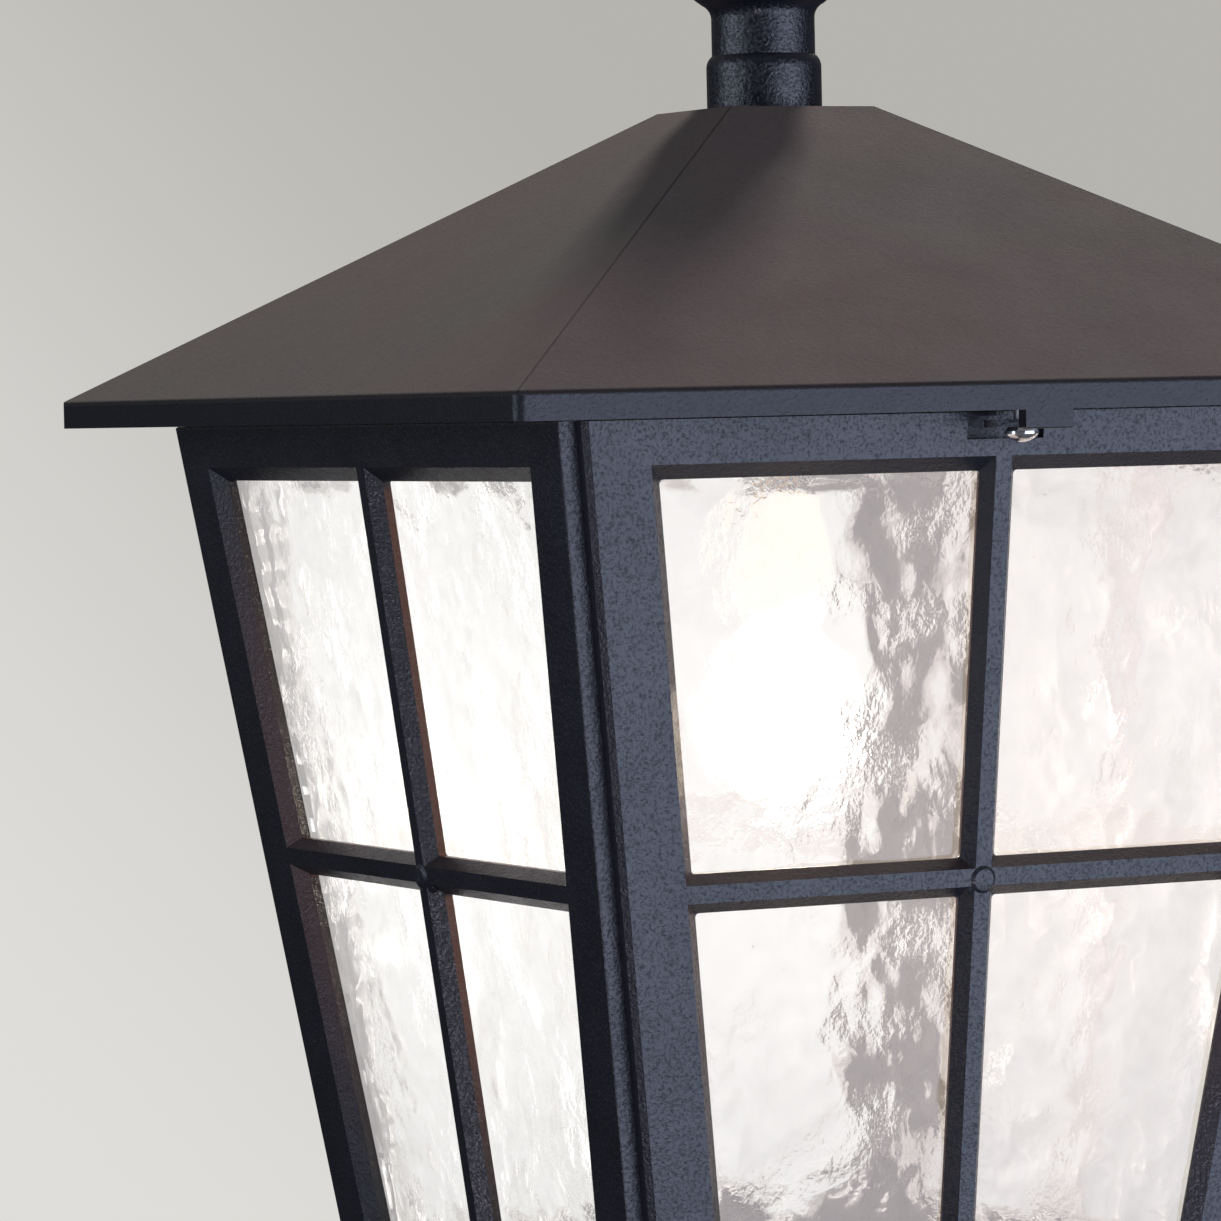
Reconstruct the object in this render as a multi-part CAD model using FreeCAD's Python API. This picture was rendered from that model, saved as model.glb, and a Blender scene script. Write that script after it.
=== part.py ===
"""Street lamp post: cast pedestal with a service door, a turned column and a four-sided
glazed lantern with a hinged roof. Millimetres, +Z up, origin on the ground under the
column's axis. The lantern's front, with the roof catch, faces -Y."""
import FreeCAD, Part
import math
import os

V = FreeCAD.Vector

# ---- driving sizes: pedestal -------------------------------------------------------
flange_half = 170.0
flange_thickness = 16.0
anchor_spacing = 290.0
anchor_hole_radius = 9.0
flange_corner_radius = 22.0
plinth_half = 125.0
plinth_height = 76.0
plinth_chamfer = 14.0
pedestal_half = 100.0
pedestal_wall = 12.0
pedestal_box_height = 540.0
cornice_overhang = 16.0
cornice_height = 20.0
pedestal_height = 620.0
pedestal_top_radius = 92.0
ground_cable_opening_half = 60.0

# ---- driving sizes: column bolts ---------------------------------------------------
column_bolt_radius = 5.0
column_bolt_depth = 22.0
column_bolt_head_radius = 8.5
column_bolt_head_height = 6.5

# ---- driving sizes: service door ---------------------------------------------------
door_width = 110.0
door_height = 260.0
door_bottom = 180.0
door_thickness = 6.0
door_gap = 1.5
door_ledge = 8.0
door_seal_thickness = 1.5
door_seal_clearance = 0.3
door_panel_margin = 16.0
door_panel_height = 3.0
hinge_offset = 6.0
hinge_knuckle_radius = 5.0
hinge_pin_radius = 2.5
hinge_knuckle_height = 12.0
hinge_end_distance = 40.0
hinge_foot_reach = 14.0
hinge_pin_head = 1.5
lock_radius = 9.0
lock_proud = 1.5
lock_edge_distance = 22.0
lock_key_radius = 5.2
lock_key_depth = 5.0
lock_stile = 16.0
cam_length = 24.0
cam_width = 11.0
cam_thickness = 3.0

# ---- driving sizes: wiring equipment -----------------------------------------------
board_width = 120.0
board_height = 260.0
board_thickness = 12.0
board_bottom = 130.0
cutout_width = 70.0
cutout_height = 110.0
cutout_depth = 45.0
cutout_bottom = 210.0
lever_hub_radius = 5.0
lever_width = 14.0
lever_length = 20.0
lever_pivot_radius = 2.0
lever_on_angle = 30.0
gland_radius = 8.0
gland_height = 16.0
cable_radius = 2.5

# ---- driving sizes: column ---------------------------------------------------------
column_height = 1165.0
column_base_radius = 55.0
column_neck_radius = 35.0
column_bore_radius = 24.0
column_flange_radius = 88.0
column_flange_thickness = 12.0
column_bolt_circle = 77.0
column_bolt_count = 4
spigot_radius = 30.0
spigot_height = 70.0

# ---- driving sizes: lantern --------------------------------------------------------
frog_height = 150.0
frog_arm_thickness = 14.0
frog_hub_wall = 11.0
frog_pad_radius = 13.0
frog_pad_thickness = 9.0
set_screw_radius = 4.0
set_screw_key_radius = 2.2
base_frame_height = 14.0
base_frame_overhang = 7.0
base_frame_opening_half = 70.0
body_height = 366.0
body_top_half = 189.0
body_bottom_half = 138.0
side_frame_thickness = 9.0
face_frame_thickness = 7.0
front_edge_setback = 4.0
face_frame_inset = 7.2
jamb_width = 26.8
top_rail = 17.0
cross_below_top = 181.0
bar_face = 7.0
bar_width = 15.2
bevel_width = 5.6
bevel_depth = 5.6
light_corner_radius = 1.6
frame_edge_radius = 0.8
face_frame_chamfer = 2.2
boss_radius = 8.6
boss_top_radius = 4.2
boss_proud = 1.4
boss_shoulder = 2.4
pane_thickness = 4.0
pane_overlap = 8.0
pane_seal_thickness = 1.0
tray_thickness = 3.0
angle_leg = 17.0
angle_thickness = 3.0
corner_screw_radius = 2.0
corner_screw_head_radius = 3.8
corner_screw_head_height = 2.0
pad_bolt_radius = 4.0
pad_bolt_head_radius = 6.5
pad_bolt_head_height = 8.0
pad_bolt_depth = 18.0
pad_bolt_sink = 0.5
pad_bolt_key_radius = 3.0
pad_bolt_key_depth = 4.0

# ---- driving sizes: lamp -----------------------------------------------------------
bridge_width = 24.0
bridge_thickness = 3.0
bridge_drop = 4.0
nipple_radius = 5.0
holder_top_below = 30.0
holder_radius = 20.0
holder_height = 48.0
bulb_radius = 30.0
bulb_cap_radius = 13.2

# ---- driving sizes: roof -----------------------------------------------------------
roof_gap = 0.6
roof_seal_height = 0.3
eave_overhang = 36.0
fascia_height = 10.8
roof_rise = 114.2
roof_flat_half = 33.0
roof_wall = 4.0
arris_radius = 2.6
eave_corner_radius = 4.0
liner_thickness = 2.5
finial_collar_radius = 23.7
finial_collar_height = 22.5
finial_collar_shoulder = 4.7
finial_waist_radius = 21.3
finial_flare_height = 8.5
finial_neck_height = 46.5
finial_disc_height = 8.5
finial_ball_radius = 31.0
finial_height = 168.0
stud_radius = 5.0
finial_foot_radius = 12.0
finial_stud_reach = 20.0
finial_stud_tail = 16.0
finial_nut_radius = 9.8
finial_nut_height = 8.0
finial_washer_radius = 12.0
finial_washer_thickness = 2.0
roof_axis_offset = 9.0
roof_axis_drop = 7.0
roof_knuckle_radius = 4.2
roof_pin_radius = 2.4
roof_leaf_half = 30.0
roof_leaf_width = 20.0
roof_knuckle_half = 10.5
leaf_thickness = 2.5
catch_setback = 11.0
tab_half_width = 10.4
tab_drop = 7.3
tab_thickness = 5.5
tab_recess = 0.7
knob_radius = 6.6
knob_height = 6.0
tongue_drop = 3.6
tongue_thickness = 3.0
tongue_length = 16.0
tongue_width = 8.0
pocket_half_width = 17.0
pocket_height = 9.0
pocket_lip = 1.5
pocket_floor = 1.4

# ---- clearances --------------------------------------------------------------------
running_clearance = 0.1
body_gap = 0.3

# ---- levels worked out from the sizes above ----------------------------------------
eave_half = body_top_half + eave_overhang
column_top_z = pedestal_height + column_height
frog_top_z = column_top_z + frog_height
frames_bottom_z = frog_top_z + base_frame_height
frames_top_z = frames_bottom_z + body_height
soffit_z = frames_top_z + roof_gap
eave_z = soffit_z + fascia_height
roof_top_z = eave_z + roof_rise
taper = (body_top_half - body_bottom_half) / body_height
side_edge_half = body_top_half - front_edge_setback
face_plane_half = side_edge_half + face_frame_thickness
face_half_width = body_top_half - face_frame_inset
bottom_rail_s = 2.0 * cross_below_top - top_rail

Z_AXIS = V(0, 0, 1)
ORIGIN = V(0, 0, 0)


# ---- shape helpers -----------------------------------------------------------------
def block(x0, x1, y0, y1, z0, z1):
    """Box between two corners."""
    return Part.makeBox(x1 - x0, y1 - y0, z1 - z0, V(x0, y0, z0))


def rod(radius, start, direction, length):
    """Round bar from a point along a direction."""
    return Part.makeCylinder(radius, length, start, direction)


def fuse(shapes):
    """One clean solid from pieces that share volume."""
    result = shapes[0].fuse(shapes[1:])
    return result.removeSplitter()


def polygon_wire(points):
    """Closed wire through points."""
    return Part.makePolygon(list(points) + [points[0]])


def turned(outline, base_z=0.0):
    """Solid of revolution. Each entry is (r, z), or (r_mid, z_mid, r, z) for an arc."""
    edges = []
    here = V(outline[0][0], 0, base_z + outline[0][1])
    first = here
    for entry in outline[1:]:
        end = V(entry[-2], 0, base_z + entry[-1])
        if len(entry) == 4:
            middle = V(entry[0], 0, base_z + entry[1])
            edges.append(Part.Arc(here, middle, end).toShape())
        else:
            edges.append(Part.LineSegment(here, end).toShape())
        here = end
    edges.append(Part.LineSegment(here, first).toShape())
    face = Part.Face(Part.Wire(edges))
    return face.revolve(ORIGIN, Z_AXIS, 360)


def cap(radius, z_rim, z_tip):
    """Outline entry for a ball-shaped cap from a rim to its tip on the axis."""
    rise = abs(z_tip - z_rim)
    ball = (radius ** 2 + rise ** 2) / (2.0 * rise)
    half = math.asin(radius / ball) / 2.0
    sign = 1.0 if z_tip > z_rim else -1.0
    return (ball * math.sin(half), z_tip - sign * ball * (1.0 - math.cos(half)), 0, z_tip)


def square_ring(outer, inner, z0, z1):
    """Flat square ring."""
    outside = block(-outer, outer, -outer, outer, z0, z1)
    return outside.cut(block(-inner, inner, -inner, inner, z0 - 1, z1 + 1))


def frustum(low_half, high_half, z0, z1):
    """Square pyramid with its top cut off."""
    wires = []
    for half, z in ((low_half, z0), (high_half, z1)):
        corners = [V(-half, -half, z), V(half, -half, z), V(half, half, z), V(-half, half, z)]
        wires.append(polygon_wire(corners))
    return Part.makeLoft(wires, True, True)


def face_point(plane_half, u, s, depth):
    """Point on a leaning lantern face seen from the front: s down, depth inwards."""
    return V(u, -(plane_half - taper * s - depth), frames_top_z - s)


def leaning_plate(plane_half, left, right, s0, s1, depth0, depth1):
    """Plate parallel to a lantern face. left and right are u at the top edge."""
    outline = [
        face_point(plane_half, left[0] + left[1] * s0, s0, depth0),
        face_point(plane_half, right[0] + right[1] * s0, s0, depth0),
        face_point(plane_half, right[0] + right[1] * s1, s1, depth0),
        face_point(plane_half, left[0] + left[1] * s1, s1, depth0),
    ]
    face = Part.Face(polygon_wire(outline))
    return face.extrude(V(0, depth1 - depth0, 0))


def leaning_wire(plane_half, left, right, s0, s1, depth):
    """Four-cornered outline parallel to a lantern face."""
    corners = []
    for (u, lean), s in ((left, s0), (right, s0), (right, s1), (left, s1)):
        corners.append(face_point(plane_half, u + lean * s, s, depth))
    return polygon_wire(corners)


def symmetric_plate(plane_half, half_width, s0, s1, depth0, depth1):
    """Leaning plate whose two sides follow the taper."""
    left = (-half_width, taper)
    right = (half_width, -taper)
    return leaning_plate(plane_half, left, right, s0, s1, depth0, depth1)


def turn(shape, degrees):
    """Copy turned about the column's axis."""
    result = shape.copy()
    result.rotate(ORIGIN, Z_AXIS, degrees)
    return result


def rounded_path(points, radius):
    """Wire of straight runs joined by tangent arcs of one radius."""
    edges = []
    here = points[0]
    for before, corner, after in zip(points, points[1:], points[2:]):
        into = (corner - before).normalize()
        out = (after - corner).normalize()
        turn_angle = into.getAngle(out)
        setback = radius * math.tan(turn_angle / 2.0)
        start = corner - into * setback
        end = corner + out * setback
        inward = (out - into).normalize()
        sagitta = radius * (1.0 / math.cos(turn_angle / 2.0) - 1.0)
        edges.append(Part.LineSegment(here, start).toShape())
        edges.append(Part.Arc(start, corner + inward * sagitta, end).toShape())
        here = end
    edges.append(Part.LineSegment(here, points[-1]).toShape())
    return Part.Wire(edges)


# ---- pedestal and door -------------------------------------------------------------
door_inner_half = door_width / 2.0
door_top = door_bottom + door_height
pedestal_inner_half = pedestal_half - pedestal_wall
hinge_axis_x = -(door_inner_half + hinge_offset)
hinge_axis_y = -(pedestal_half + hinge_offset)
knuckle_levels = (door_bottom + hinge_end_distance, door_top - hinge_end_distance)
door_face_y = -pedestal_half
ledge_y = door_face_y + door_thickness + door_seal_thickness + door_seal_clearance
lock_x = door_inner_half - lock_edge_distance
lock_z = door_bottom + door_height / 2.0
cam_y = -pedestal_inner_half + body_gap


def make_pedestal():
    flange = block(-flange_half, flange_half, -flange_half, flange_half, 0, flange_thickness)
    flange = flange.makeFillet(flange_corner_radius, [e for e in flange.Edges if is_upright(e)])
    plinth = block(-plinth_half, plinth_half, -plinth_half, plinth_half, 0, plinth_height)
    plinth = plinth.makeChamfer(plinth_chamfer, level_edges(plinth, plinth_height))
    box_top = pedestal_box_height
    shaft = block(-pedestal_half, pedestal_half, -pedestal_half, pedestal_half, 0, box_top)
    cornice_half = pedestal_half + cornice_overhang
    cornice_top = box_top + cornice_height
    cornice = block(-cornice_half, cornice_half, -cornice_half, cornice_half, box_top, cornice_top)
    cornice = cornice.makeChamfer(cornice_overhang * 0.6, level_edges(cornice, box_top))
    rise = pedestal_height - cornice_top
    dome = turned([(0, 0), (pedestal_half, 0), (pedestal_half - 4.0, rise * 0.45,
                  pedestal_top_radius, rise * 0.72), (pedestal_top_radius, rise), (0, rise)],
                  cornice_top)
    casting = fuse([flange, plinth, shaft, cornice, dome])
    inner = pedestal_inner_half
    cavity_top = box_top - pedestal_wall
    cavity = block(-inner, inner, -inner, inner, flange_thickness, cavity_top)
    half = ground_cable_opening_half
    ground_hole = block(-half, half, -half, half, -1, flange_thickness + 1)
    throat = rod(column_bore_radius, V(0, 0, cavity_top - 1), Z_AXIS, pedestal_height - cavity_top + 2)
    pocket = block(-door_inner_half, door_inner_half, door_face_y - 1, ledge_y,
                   door_bottom, door_top)
    inner_half = door_inner_half - door_ledge
    doorway = block(-inner_half, inner_half, door_face_y - 1, -inner + 1,
                    door_bottom + door_ledge, door_top - door_ledge)
    casting = casting.cut([cavity, ground_hole, throat, pocket, doorway])
    holes = []
    for x in (-anchor_spacing / 2.0, anchor_spacing / 2.0):
        for y in (-anchor_spacing / 2.0, anchor_spacing / 2.0):
            holes.append(rod(anchor_hole_radius, V(x, y, -1), Z_AXIS, flange_thickness + 2))
    holes += column_bolt_holes(pedestal_height - column_bolt_depth - 2.0, column_bolt_depth + 3.0)
    casting = casting.cut(holes)
    lugs = []
    for level in knuckle_levels:
        for side in (-1, 1):
            low = level + (side - 1) * hinge_knuckle_height / 2.0 + side * hinge_knuckle_height / 2.0
            lugs.append(hinge_knuckle(low + side * body_gap, -pedestal_half + 2.0, -1))
    lugs_shape = fuse([casting] + lugs)
    bores = [rod(hinge_pin_radius, V(hinge_axis_x, hinge_axis_y, level - 2 * hinge_knuckle_height),
                 Z_AXIS, 4 * hinge_knuckle_height) for level in knuckle_levels]
    return lugs_shape.cut(bores)


def is_upright(edge):
    """True for a straight edge along Z."""
    start, end = edge.Vertexes[0].Point, edge.Vertexes[-1].Point
    return abs(start.x - end.x) < 1e-6 and abs(start.y - end.y) < 1e-6


def level_edges(shape, z):
    """Edges lying in the horizontal plane at z."""
    return [e for e in shape.Edges if all(abs(v.Z - z) < 1e-6 for v in e.Vertexes)]


def hinge_knuckle(low_z, root_y, side):
    """Door hinge knuckle with its root. side -1 reaches the pedestal, +1 the door."""
    barrel = rod(hinge_knuckle_radius, V(hinge_axis_x, hinge_axis_y, low_z), Z_AXIS,
                 hinge_knuckle_height)
    if side < 0:
        root = block(hinge_axis_x - hinge_knuckle_radius, hinge_axis_x + 1.0, hinge_axis_y, root_y,
                     low_z, low_z + hinge_knuckle_height)
    else:
        high_z = low_z + hinge_knuckle_height
        arm = block(hinge_axis_x, -door_inner_half + hinge_foot_reach, hinge_axis_y - 1.5,
                    root_y - body_gap, low_z, high_z)
        foot = block(-door_inner_half + door_gap + 0.5, -door_inner_half + hinge_foot_reach,
                     root_y - 1.0, root_y + 1.0, low_z, high_z)
        root = fuse([arm, foot])
    return fuse([barrel, root])


def column_bolt_holes(z0, length):
    """Tools for the bolts that hold the column to the pedestal."""
    tools = []
    for index in range(column_bolt_count):
        angle = math.radians(45.0 + 360.0 * index / column_bolt_count)
        centre = V(column_bolt_circle * math.cos(angle), column_bolt_circle * math.sin(angle), z0)
        tools.append(rod(column_bolt_radius + running_clearance, centre, Z_AXIS, length))
    return tools


def make_door():
    half = door_inner_half - door_gap
    low = door_bottom + door_gap
    high = door_top - door_gap
    plate = block(-half, half, door_face_y, door_face_y + door_thickness, low, high)
    margin = door_panel_margin
    panel = block(-half + margin, half - margin - lock_stile, door_face_y - door_panel_height,
                  door_face_y + 1.0, low + margin, high - margin)
    panel = panel.makeChamfer(door_panel_height * 0.7,
                              [e for e in panel.Edges
                               if all(abs(v.Y - (door_face_y - door_panel_height)) < 1e-6
                                      for v in e.Vertexes)])
    pieces = [plate, panel]
    for level in knuckle_levels:
        low_z = level - hinge_knuckle_height / 2.0
        pieces.append(hinge_knuckle(low_z, door_face_y, 1))
    door = fuse(pieces)
    tools = [rod(hinge_pin_radius + running_clearance,
                 V(hinge_axis_x, hinge_axis_y, level - hinge_knuckle_height), Z_AXIS,
                 2 * hinge_knuckle_height) for level in knuckle_levels]
    tools.append(rod(lock_radius + running_clearance, V(lock_x, door_face_y - 10, lock_z),
                     V(0, 1, 0), 30))
    return door.cut(tools)


def make_door_hinge_pins():
    pins = []
    for level in knuckle_levels:
        length = 3 * hinge_knuckle_height + 2 * body_gap
        low = level - length / 2.0
        shank = rod(hinge_pin_radius, V(hinge_axis_x, hinge_axis_y, low), Z_AXIS, length)
        head = rod(hinge_pin_radius + hinge_pin_head,
                   V(hinge_axis_x, hinge_axis_y, low + length), Z_AXIS, 2.0)
        pins.append(fuse([shank, head]))
    return Part.makeCompound(pins)


def make_door_seal():
    half = door_inner_half - door_gap
    inner = door_inner_half - door_ledge
    y0 = door_face_y + door_thickness
    y1 = y0 + door_seal_thickness
    outside = block(-half, half, y0, y1, door_bottom + door_gap, door_top - door_gap)
    return outside.cut(block(-inner, inner, y0 - 1, y1 + 1,
                             door_bottom + door_ledge, door_top - door_ledge))


def make_lock_barrel():
    front = door_face_y - lock_proud
    barrel = rod(lock_radius, V(lock_x, front, lock_z), V(0, 1, 0), cam_y - front)
    corners = []
    for index in range(3):
        angle = math.radians(90.0 + 120.0 * index)
        corners.append(V(lock_x + lock_key_radius * math.cos(angle), front,
                         lock_z + lock_key_radius * math.sin(angle)))
    recess = Part.Face(polygon_wire(corners)).extrude(V(0, lock_key_depth, 0))
    return barrel.cut(recess)


def make_lock_cam():
    half = cam_width / 2.0
    blade = block(lock_x - half, lock_x + half, cam_y, cam_y + cam_thickness,
                  lock_z, lock_z + cam_length)
    round_end = rod(half + 1.5, V(lock_x, cam_y, lock_z), V(0, 1, 0), cam_thickness)
    screw_head = rod(4.0, V(lock_x, cam_y + cam_thickness, lock_z), V(0, 1, 0), 2.5)
    return fuse([blade, round_end, screw_head])


# ---- wiring equipment --------------------------------------------------------------
board_back_y = pedestal_inner_half
board_front_y = board_back_y - board_thickness
cutout_front_y = board_front_y - cutout_depth
cutout_top = cutout_bottom + cutout_height
lever_z = cutout_bottom + cutout_height * 0.62
lever_y = cutout_front_y - lever_hub_radius - 2.0
gland_y = board_front_y - cutout_depth / 2.0


def make_equipment_board():
    half = board_width / 2.0
    board = block(-half, half, board_front_y, board_back_y, board_bottom, board_bottom + board_height)
    return board.makeFillet(5.0, [e for e in board.Edges if runs_along_y(e)])


def runs_along_y(edge):
    """True for a straight edge along Y."""
    start, end = edge.Vertexes[0].Point, edge.Vertexes[-1].Point
    return abs(start.x - end.x) < 1e-6 and abs(start.z - end.z) < 1e-6


def make_cutout_base():
    half = cutout_width / 2.0
    case = block(-half, half, cutout_front_y, board_front_y, cutout_bottom, cutout_top)
    case = case.makeFillet(3.0, [e for e in case.Edges if runs_along_y(e) or is_upright(e)
                                 and e.Vertexes[0].Y < cutout_front_y + 1])
    cheeks = []
    for side in (-1, 1):
        inner = side * (lever_width / 2.0 + body_gap)
        outer = inner + side * 4.0
        cheeks.append(block(min(inner, outer), max(inner, outer), lever_y - 4.0, cutout_front_y + 1,
                            lever_z - 5.0, lever_z + 5.0))
    bore = rod(lever_pivot_radius + running_clearance, V(-30, lever_y, lever_z), V(1, 0, 0), 60)
    bore_length = bore.common(block(-14, 14, -200, 200, 0, 1000))
    return fuse([case] + cheeks).cut(bore_length)


def make_isolator_lever():
    hub = rod(lever_hub_radius, V(-lever_width / 2.0, lever_y, lever_z), V(1, 0, 0), lever_width)
    pivot_half = lever_width / 2.0 + 4.0
    pivot = rod(lever_pivot_radius, V(-pivot_half, lever_y, lever_z), V(1, 0, 0), 2 * pivot_half)
    half = lever_width / 2.0 - 2.0
    arm = block(-half, half, lever_y - lever_length, lever_y, lever_z - 3.0, lever_z + 3.0)
    arm = arm.makeFillet(1.5, [e for e in arm.Edges
                               if all(v.Y < lever_y - lever_length + 1 for v in e.Vertexes)])
    arm.rotate(V(0, lever_y, lever_z), V(1, 0, 0), -lever_on_angle)
    return fuse([hub, pivot, arm])


def make_fuse_carrier():
    low = cutout_bottom + 12.0
    body = block(-22, 22, cutout_front_y - 14.0, cutout_front_y, low, low + 36.0)
    body = body.makeFillet(3.0, [e for e in body.Edges
                                 if all(v.Y < cutout_front_y - 13.0 for v in e.Vertexes)])
    grip = block(-16, 16, cutout_front_y - 20.0, cutout_front_y - 12.0, low + 14.0, low + 20.0)
    return fuse([body, grip])


def gland(z, direction):
    """Hexagon cable gland on the cut-out's top or bottom."""
    height = gland_height
    corners = []
    for index in range(6):
        angle = math.radians(60.0 * index)
        corners.append(V(gland_radius * 1.15 * math.cos(angle),
                         gland_y + gland_radius * 1.15 * math.sin(angle), z))
    nut = Part.Face(polygon_wire(corners)).extrude(V(0, 0, direction * height * 0.5))
    tip = rod(gland_radius, V(0, gland_y, z + direction * height * 0.5), V(0, 0, direction),
              height * 0.5)
    hole = rod(cable_radius, V(0, gland_y, z), V(0, 0, direction), height)
    return fuse([nut, tip]).cut(hole)


def make_glands():
    return Part.makeCompound([gland(cutout_top, 1), gland(cutout_bottom, -1)])


def make_earth_stud():
    start = V(-pedestal_inner_half, 0, board_bottom + 20.0)
    shank = rod(4.0, start, V(1, 0, 0), 26.0)
    nuts = []
    for offset in (2.0, 12.0):
        corners = []
        for index in range(6):
            angle = math.radians(60.0 * index)
            corners.append(start + V(offset, 7.5 * math.cos(angle), 7.5 * math.sin(angle)))
        nuts.append(Part.Face(polygon_wire(corners)).extrude(V(6.0, 0, 0)))
    return fuse([shank] + nuts)


# ---- column ------------------------------------------------------------------------
def make_column():
    base_z = pedestal_height
    height = column_height
    foot = column_base_radius + 7.0
    neck = column_neck_radius
    top = column_flange_thickness
    outline = [
        (column_bore_radius, 0), (column_flange_radius, 0), (column_flange_radius, top - 3),
        (column_flange_radius - 3, top), (foot, top),
        (foot + 5.0, top + 8.0, foot, top + 16.0),
        (foot - 3.0, top + 16.0),
        (foot - 6.0, top + 26.0, column_base_radius, top + 42.0),
        (column_base_radius, top + 46.0),
        (neck, height - 122.0),
        (neck + 8.0, height - 116.0, neck, height - 110.0),
        (neck, height - 96.0),
        (neck + 1.0, height - 60.0, neck + 9.0, height - 34.0),
        (neck + 12.0, height - 34.0),
        (neck + 16.0, height - 27.0, neck + 12.0, height - 20.0),
        (neck + 6.0, height - 20.0), (neck + 6.0, height),
        (spigot_radius, height), (spigot_radius, height + spigot_height),
        (column_bore_radius, height + spigot_height),
    ]
    shaft = turned(outline, base_z)
    return shaft.cut(column_bolt_holes(base_z - 1, column_flange_thickness + 2))


def make_column_bolts():
    bolts = []
    for index in range(column_bolt_count):
        angle = math.radians(45.0 + 360.0 * index / column_bolt_count)
        x = column_bolt_circle * math.cos(angle)
        y = column_bolt_circle * math.sin(angle)
        top = pedestal_height + column_flange_thickness
        bottom = pedestal_height - column_bolt_depth
        shank = rod(column_bolt_radius, V(x, y, bottom), Z_AXIS, top - bottom)
        corners = []
        for corner in range(6):
            turn_angle = math.radians(60.0 * corner) + angle
            corners.append(V(x + column_bolt_head_radius * math.cos(turn_angle),
                             y + column_bolt_head_radius * math.sin(turn_angle), top))
        head = Part.Face(polygon_wire(corners)).extrude(V(0, 0, column_bolt_head_height))
        bolts.append(fuse([shank, head]))
    return Part.makeCompound(bolts)


# ---- post-top bracket --------------------------------------------------------------
hub_inner_radius = spigot_radius + running_clearance
hub_outer_radius = spigot_radius + frog_hub_wall
hub_height = spigot_height + 8.0
pad_radius = 0.5 * (base_frame_opening_half + body_bottom_half) * math.sqrt(2.0) * 0.96
set_screw_z = column_top_z + 0.55 * spigot_height


def make_frog():
    hub = turned([(hub_inner_radius, 0), (hub_outer_radius - 4, 0), (hub_outer_radius, 6.0),
                  (hub_outer_radius, hub_height - 14.0),
                  (hub_outer_radius - 2.0, hub_height - 4.0, hub_outer_radius - 10.0, hub_height),
                  (column_bore_radius, hub_height), (column_bore_radius, spigot_height + 0.5),
                  (hub_inner_radius, spigot_height + 0.5)], column_top_z)
    half = frog_arm_thickness / 2.0
    inner = hub_inner_radius + 3.0
    low = column_top_z
    high = frog_top_z
    out = pad_radius + 12.0
    start_low = V(inner, -half, low + 12.0)
    pad_low = high - frog_pad_thickness
    end_low = V(out, -half, pad_low)
    middle_low = V(inner + 0.68 * (out - inner), -half, low + 0.36 * frog_height)
    end_top = V(out, -half, high)
    inner_top = V(pad_radius - frog_pad_radius, -half, high)
    inner_drop = V(pad_radius - frog_pad_radius, -half, pad_low)
    start_top = V(inner, -half, low + 0.45 * frog_height)
    middle_top = V(inner + 0.56 * (out - inner), -half, low + 0.56 * frog_height)
    edges = [
        Part.Arc(start_low, middle_low, end_low).toShape(),
        Part.LineSegment(end_low, end_top).toShape(),
        Part.LineSegment(end_top, inner_top).toShape(),
        Part.LineSegment(inner_top, inner_drop).toShape(),
        Part.Arc(inner_drop, middle_top, start_top).toShape(),
        Part.LineSegment(start_top, start_low).toShape(),
    ]
    arm = Part.Face(Part.Wire(edges)).extrude(V(0, frog_arm_thickness, 0))
    pad = rod(frog_pad_radius, V(pad_radius, 0, pad_low), Z_AXIS, frog_pad_thickness)
    pieces = [hub]
    tools = []
    for quarter in range(4):
        angle = 45.0 + 90.0 * quarter
        pieces += [turn(arm, angle), turn(pad, angle)]
        bolt_hole = rod(pad_bolt_radius + running_clearance, V(pad_radius, 0, high - pad_bolt_depth - 2.0),
                        Z_AXIS, pad_bolt_depth + 3.0)
        tools.append(turn(bolt_hole, angle))
    tools += set_screw_shapes(set_screw_radius + running_clearance, 2.0)
    return fuse(pieces).cut(tools)


def set_screw_shapes(radius, extra):
    """Three radial grub screws that lock the bracket on the spigot."""
    screws = []
    for index in range(3):
        length = hub_outer_radius - spigot_radius + extra
        screw = rod(radius, V(spigot_radius, 0, set_screw_z), V(1, 0, 0), length)
        screws.append(turn(screw, 120.0 * index))
    return screws


def make_frog_set_screws():
    screws = []
    for index, screw in enumerate(set_screw_shapes(set_screw_radius, 1.0)):
        tip_x = hub_outer_radius + 1.0
        socket = rod(set_screw_key_radius, V(tip_x - 4.0, 0, set_screw_z), V(1, 0, 0), 5.0)
        screws.append(screw.cut(turn(socket, 120.0 * index)))
    return Part.makeCompound(screws)


# ---- lantern base ------------------------------------------------------------------
base_half = body_bottom_half + base_frame_overhang
bolt_seat_z = frames_bottom_z - pad_bolt_head_height - pad_bolt_sink


def frog_bolt_tools(radius, z0, z1):
    """Upright cylinders on the four bracket pads."""
    return [turn(rod(radius, V(pad_radius, 0, z0), Z_AXIS, z1 - z0), 45.0 + 90.0 * quarter)
            for quarter in range(4)]


def make_base_frame():
    ring = square_ring(base_half, base_frame_opening_half, frog_top_z, frames_bottom_z)
    outside = [e for e in ring.Edges if is_outer_bottom(e)]
    ring = ring.makeChamfer(6.0, outside)
    tools = frog_bolt_tools(pad_bolt_radius + running_clearance, frog_top_z - 1, frames_bottom_z + 1)
    tools += frog_bolt_tools(pad_bolt_head_radius + 0.5, bolt_seat_z, frames_bottom_z + 1)
    return ring.cut(tools)


def is_outer_bottom(edge):
    """Outer bottom edges of the base ring."""
    for vertex in edge.Vertexes:
        far_out = max(abs(vertex.X), abs(vertex.Y)) > base_half - 1e-6
        if abs(vertex.Z - frog_top_z) > 1e-6 or not far_out:
            return False
    return True


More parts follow.
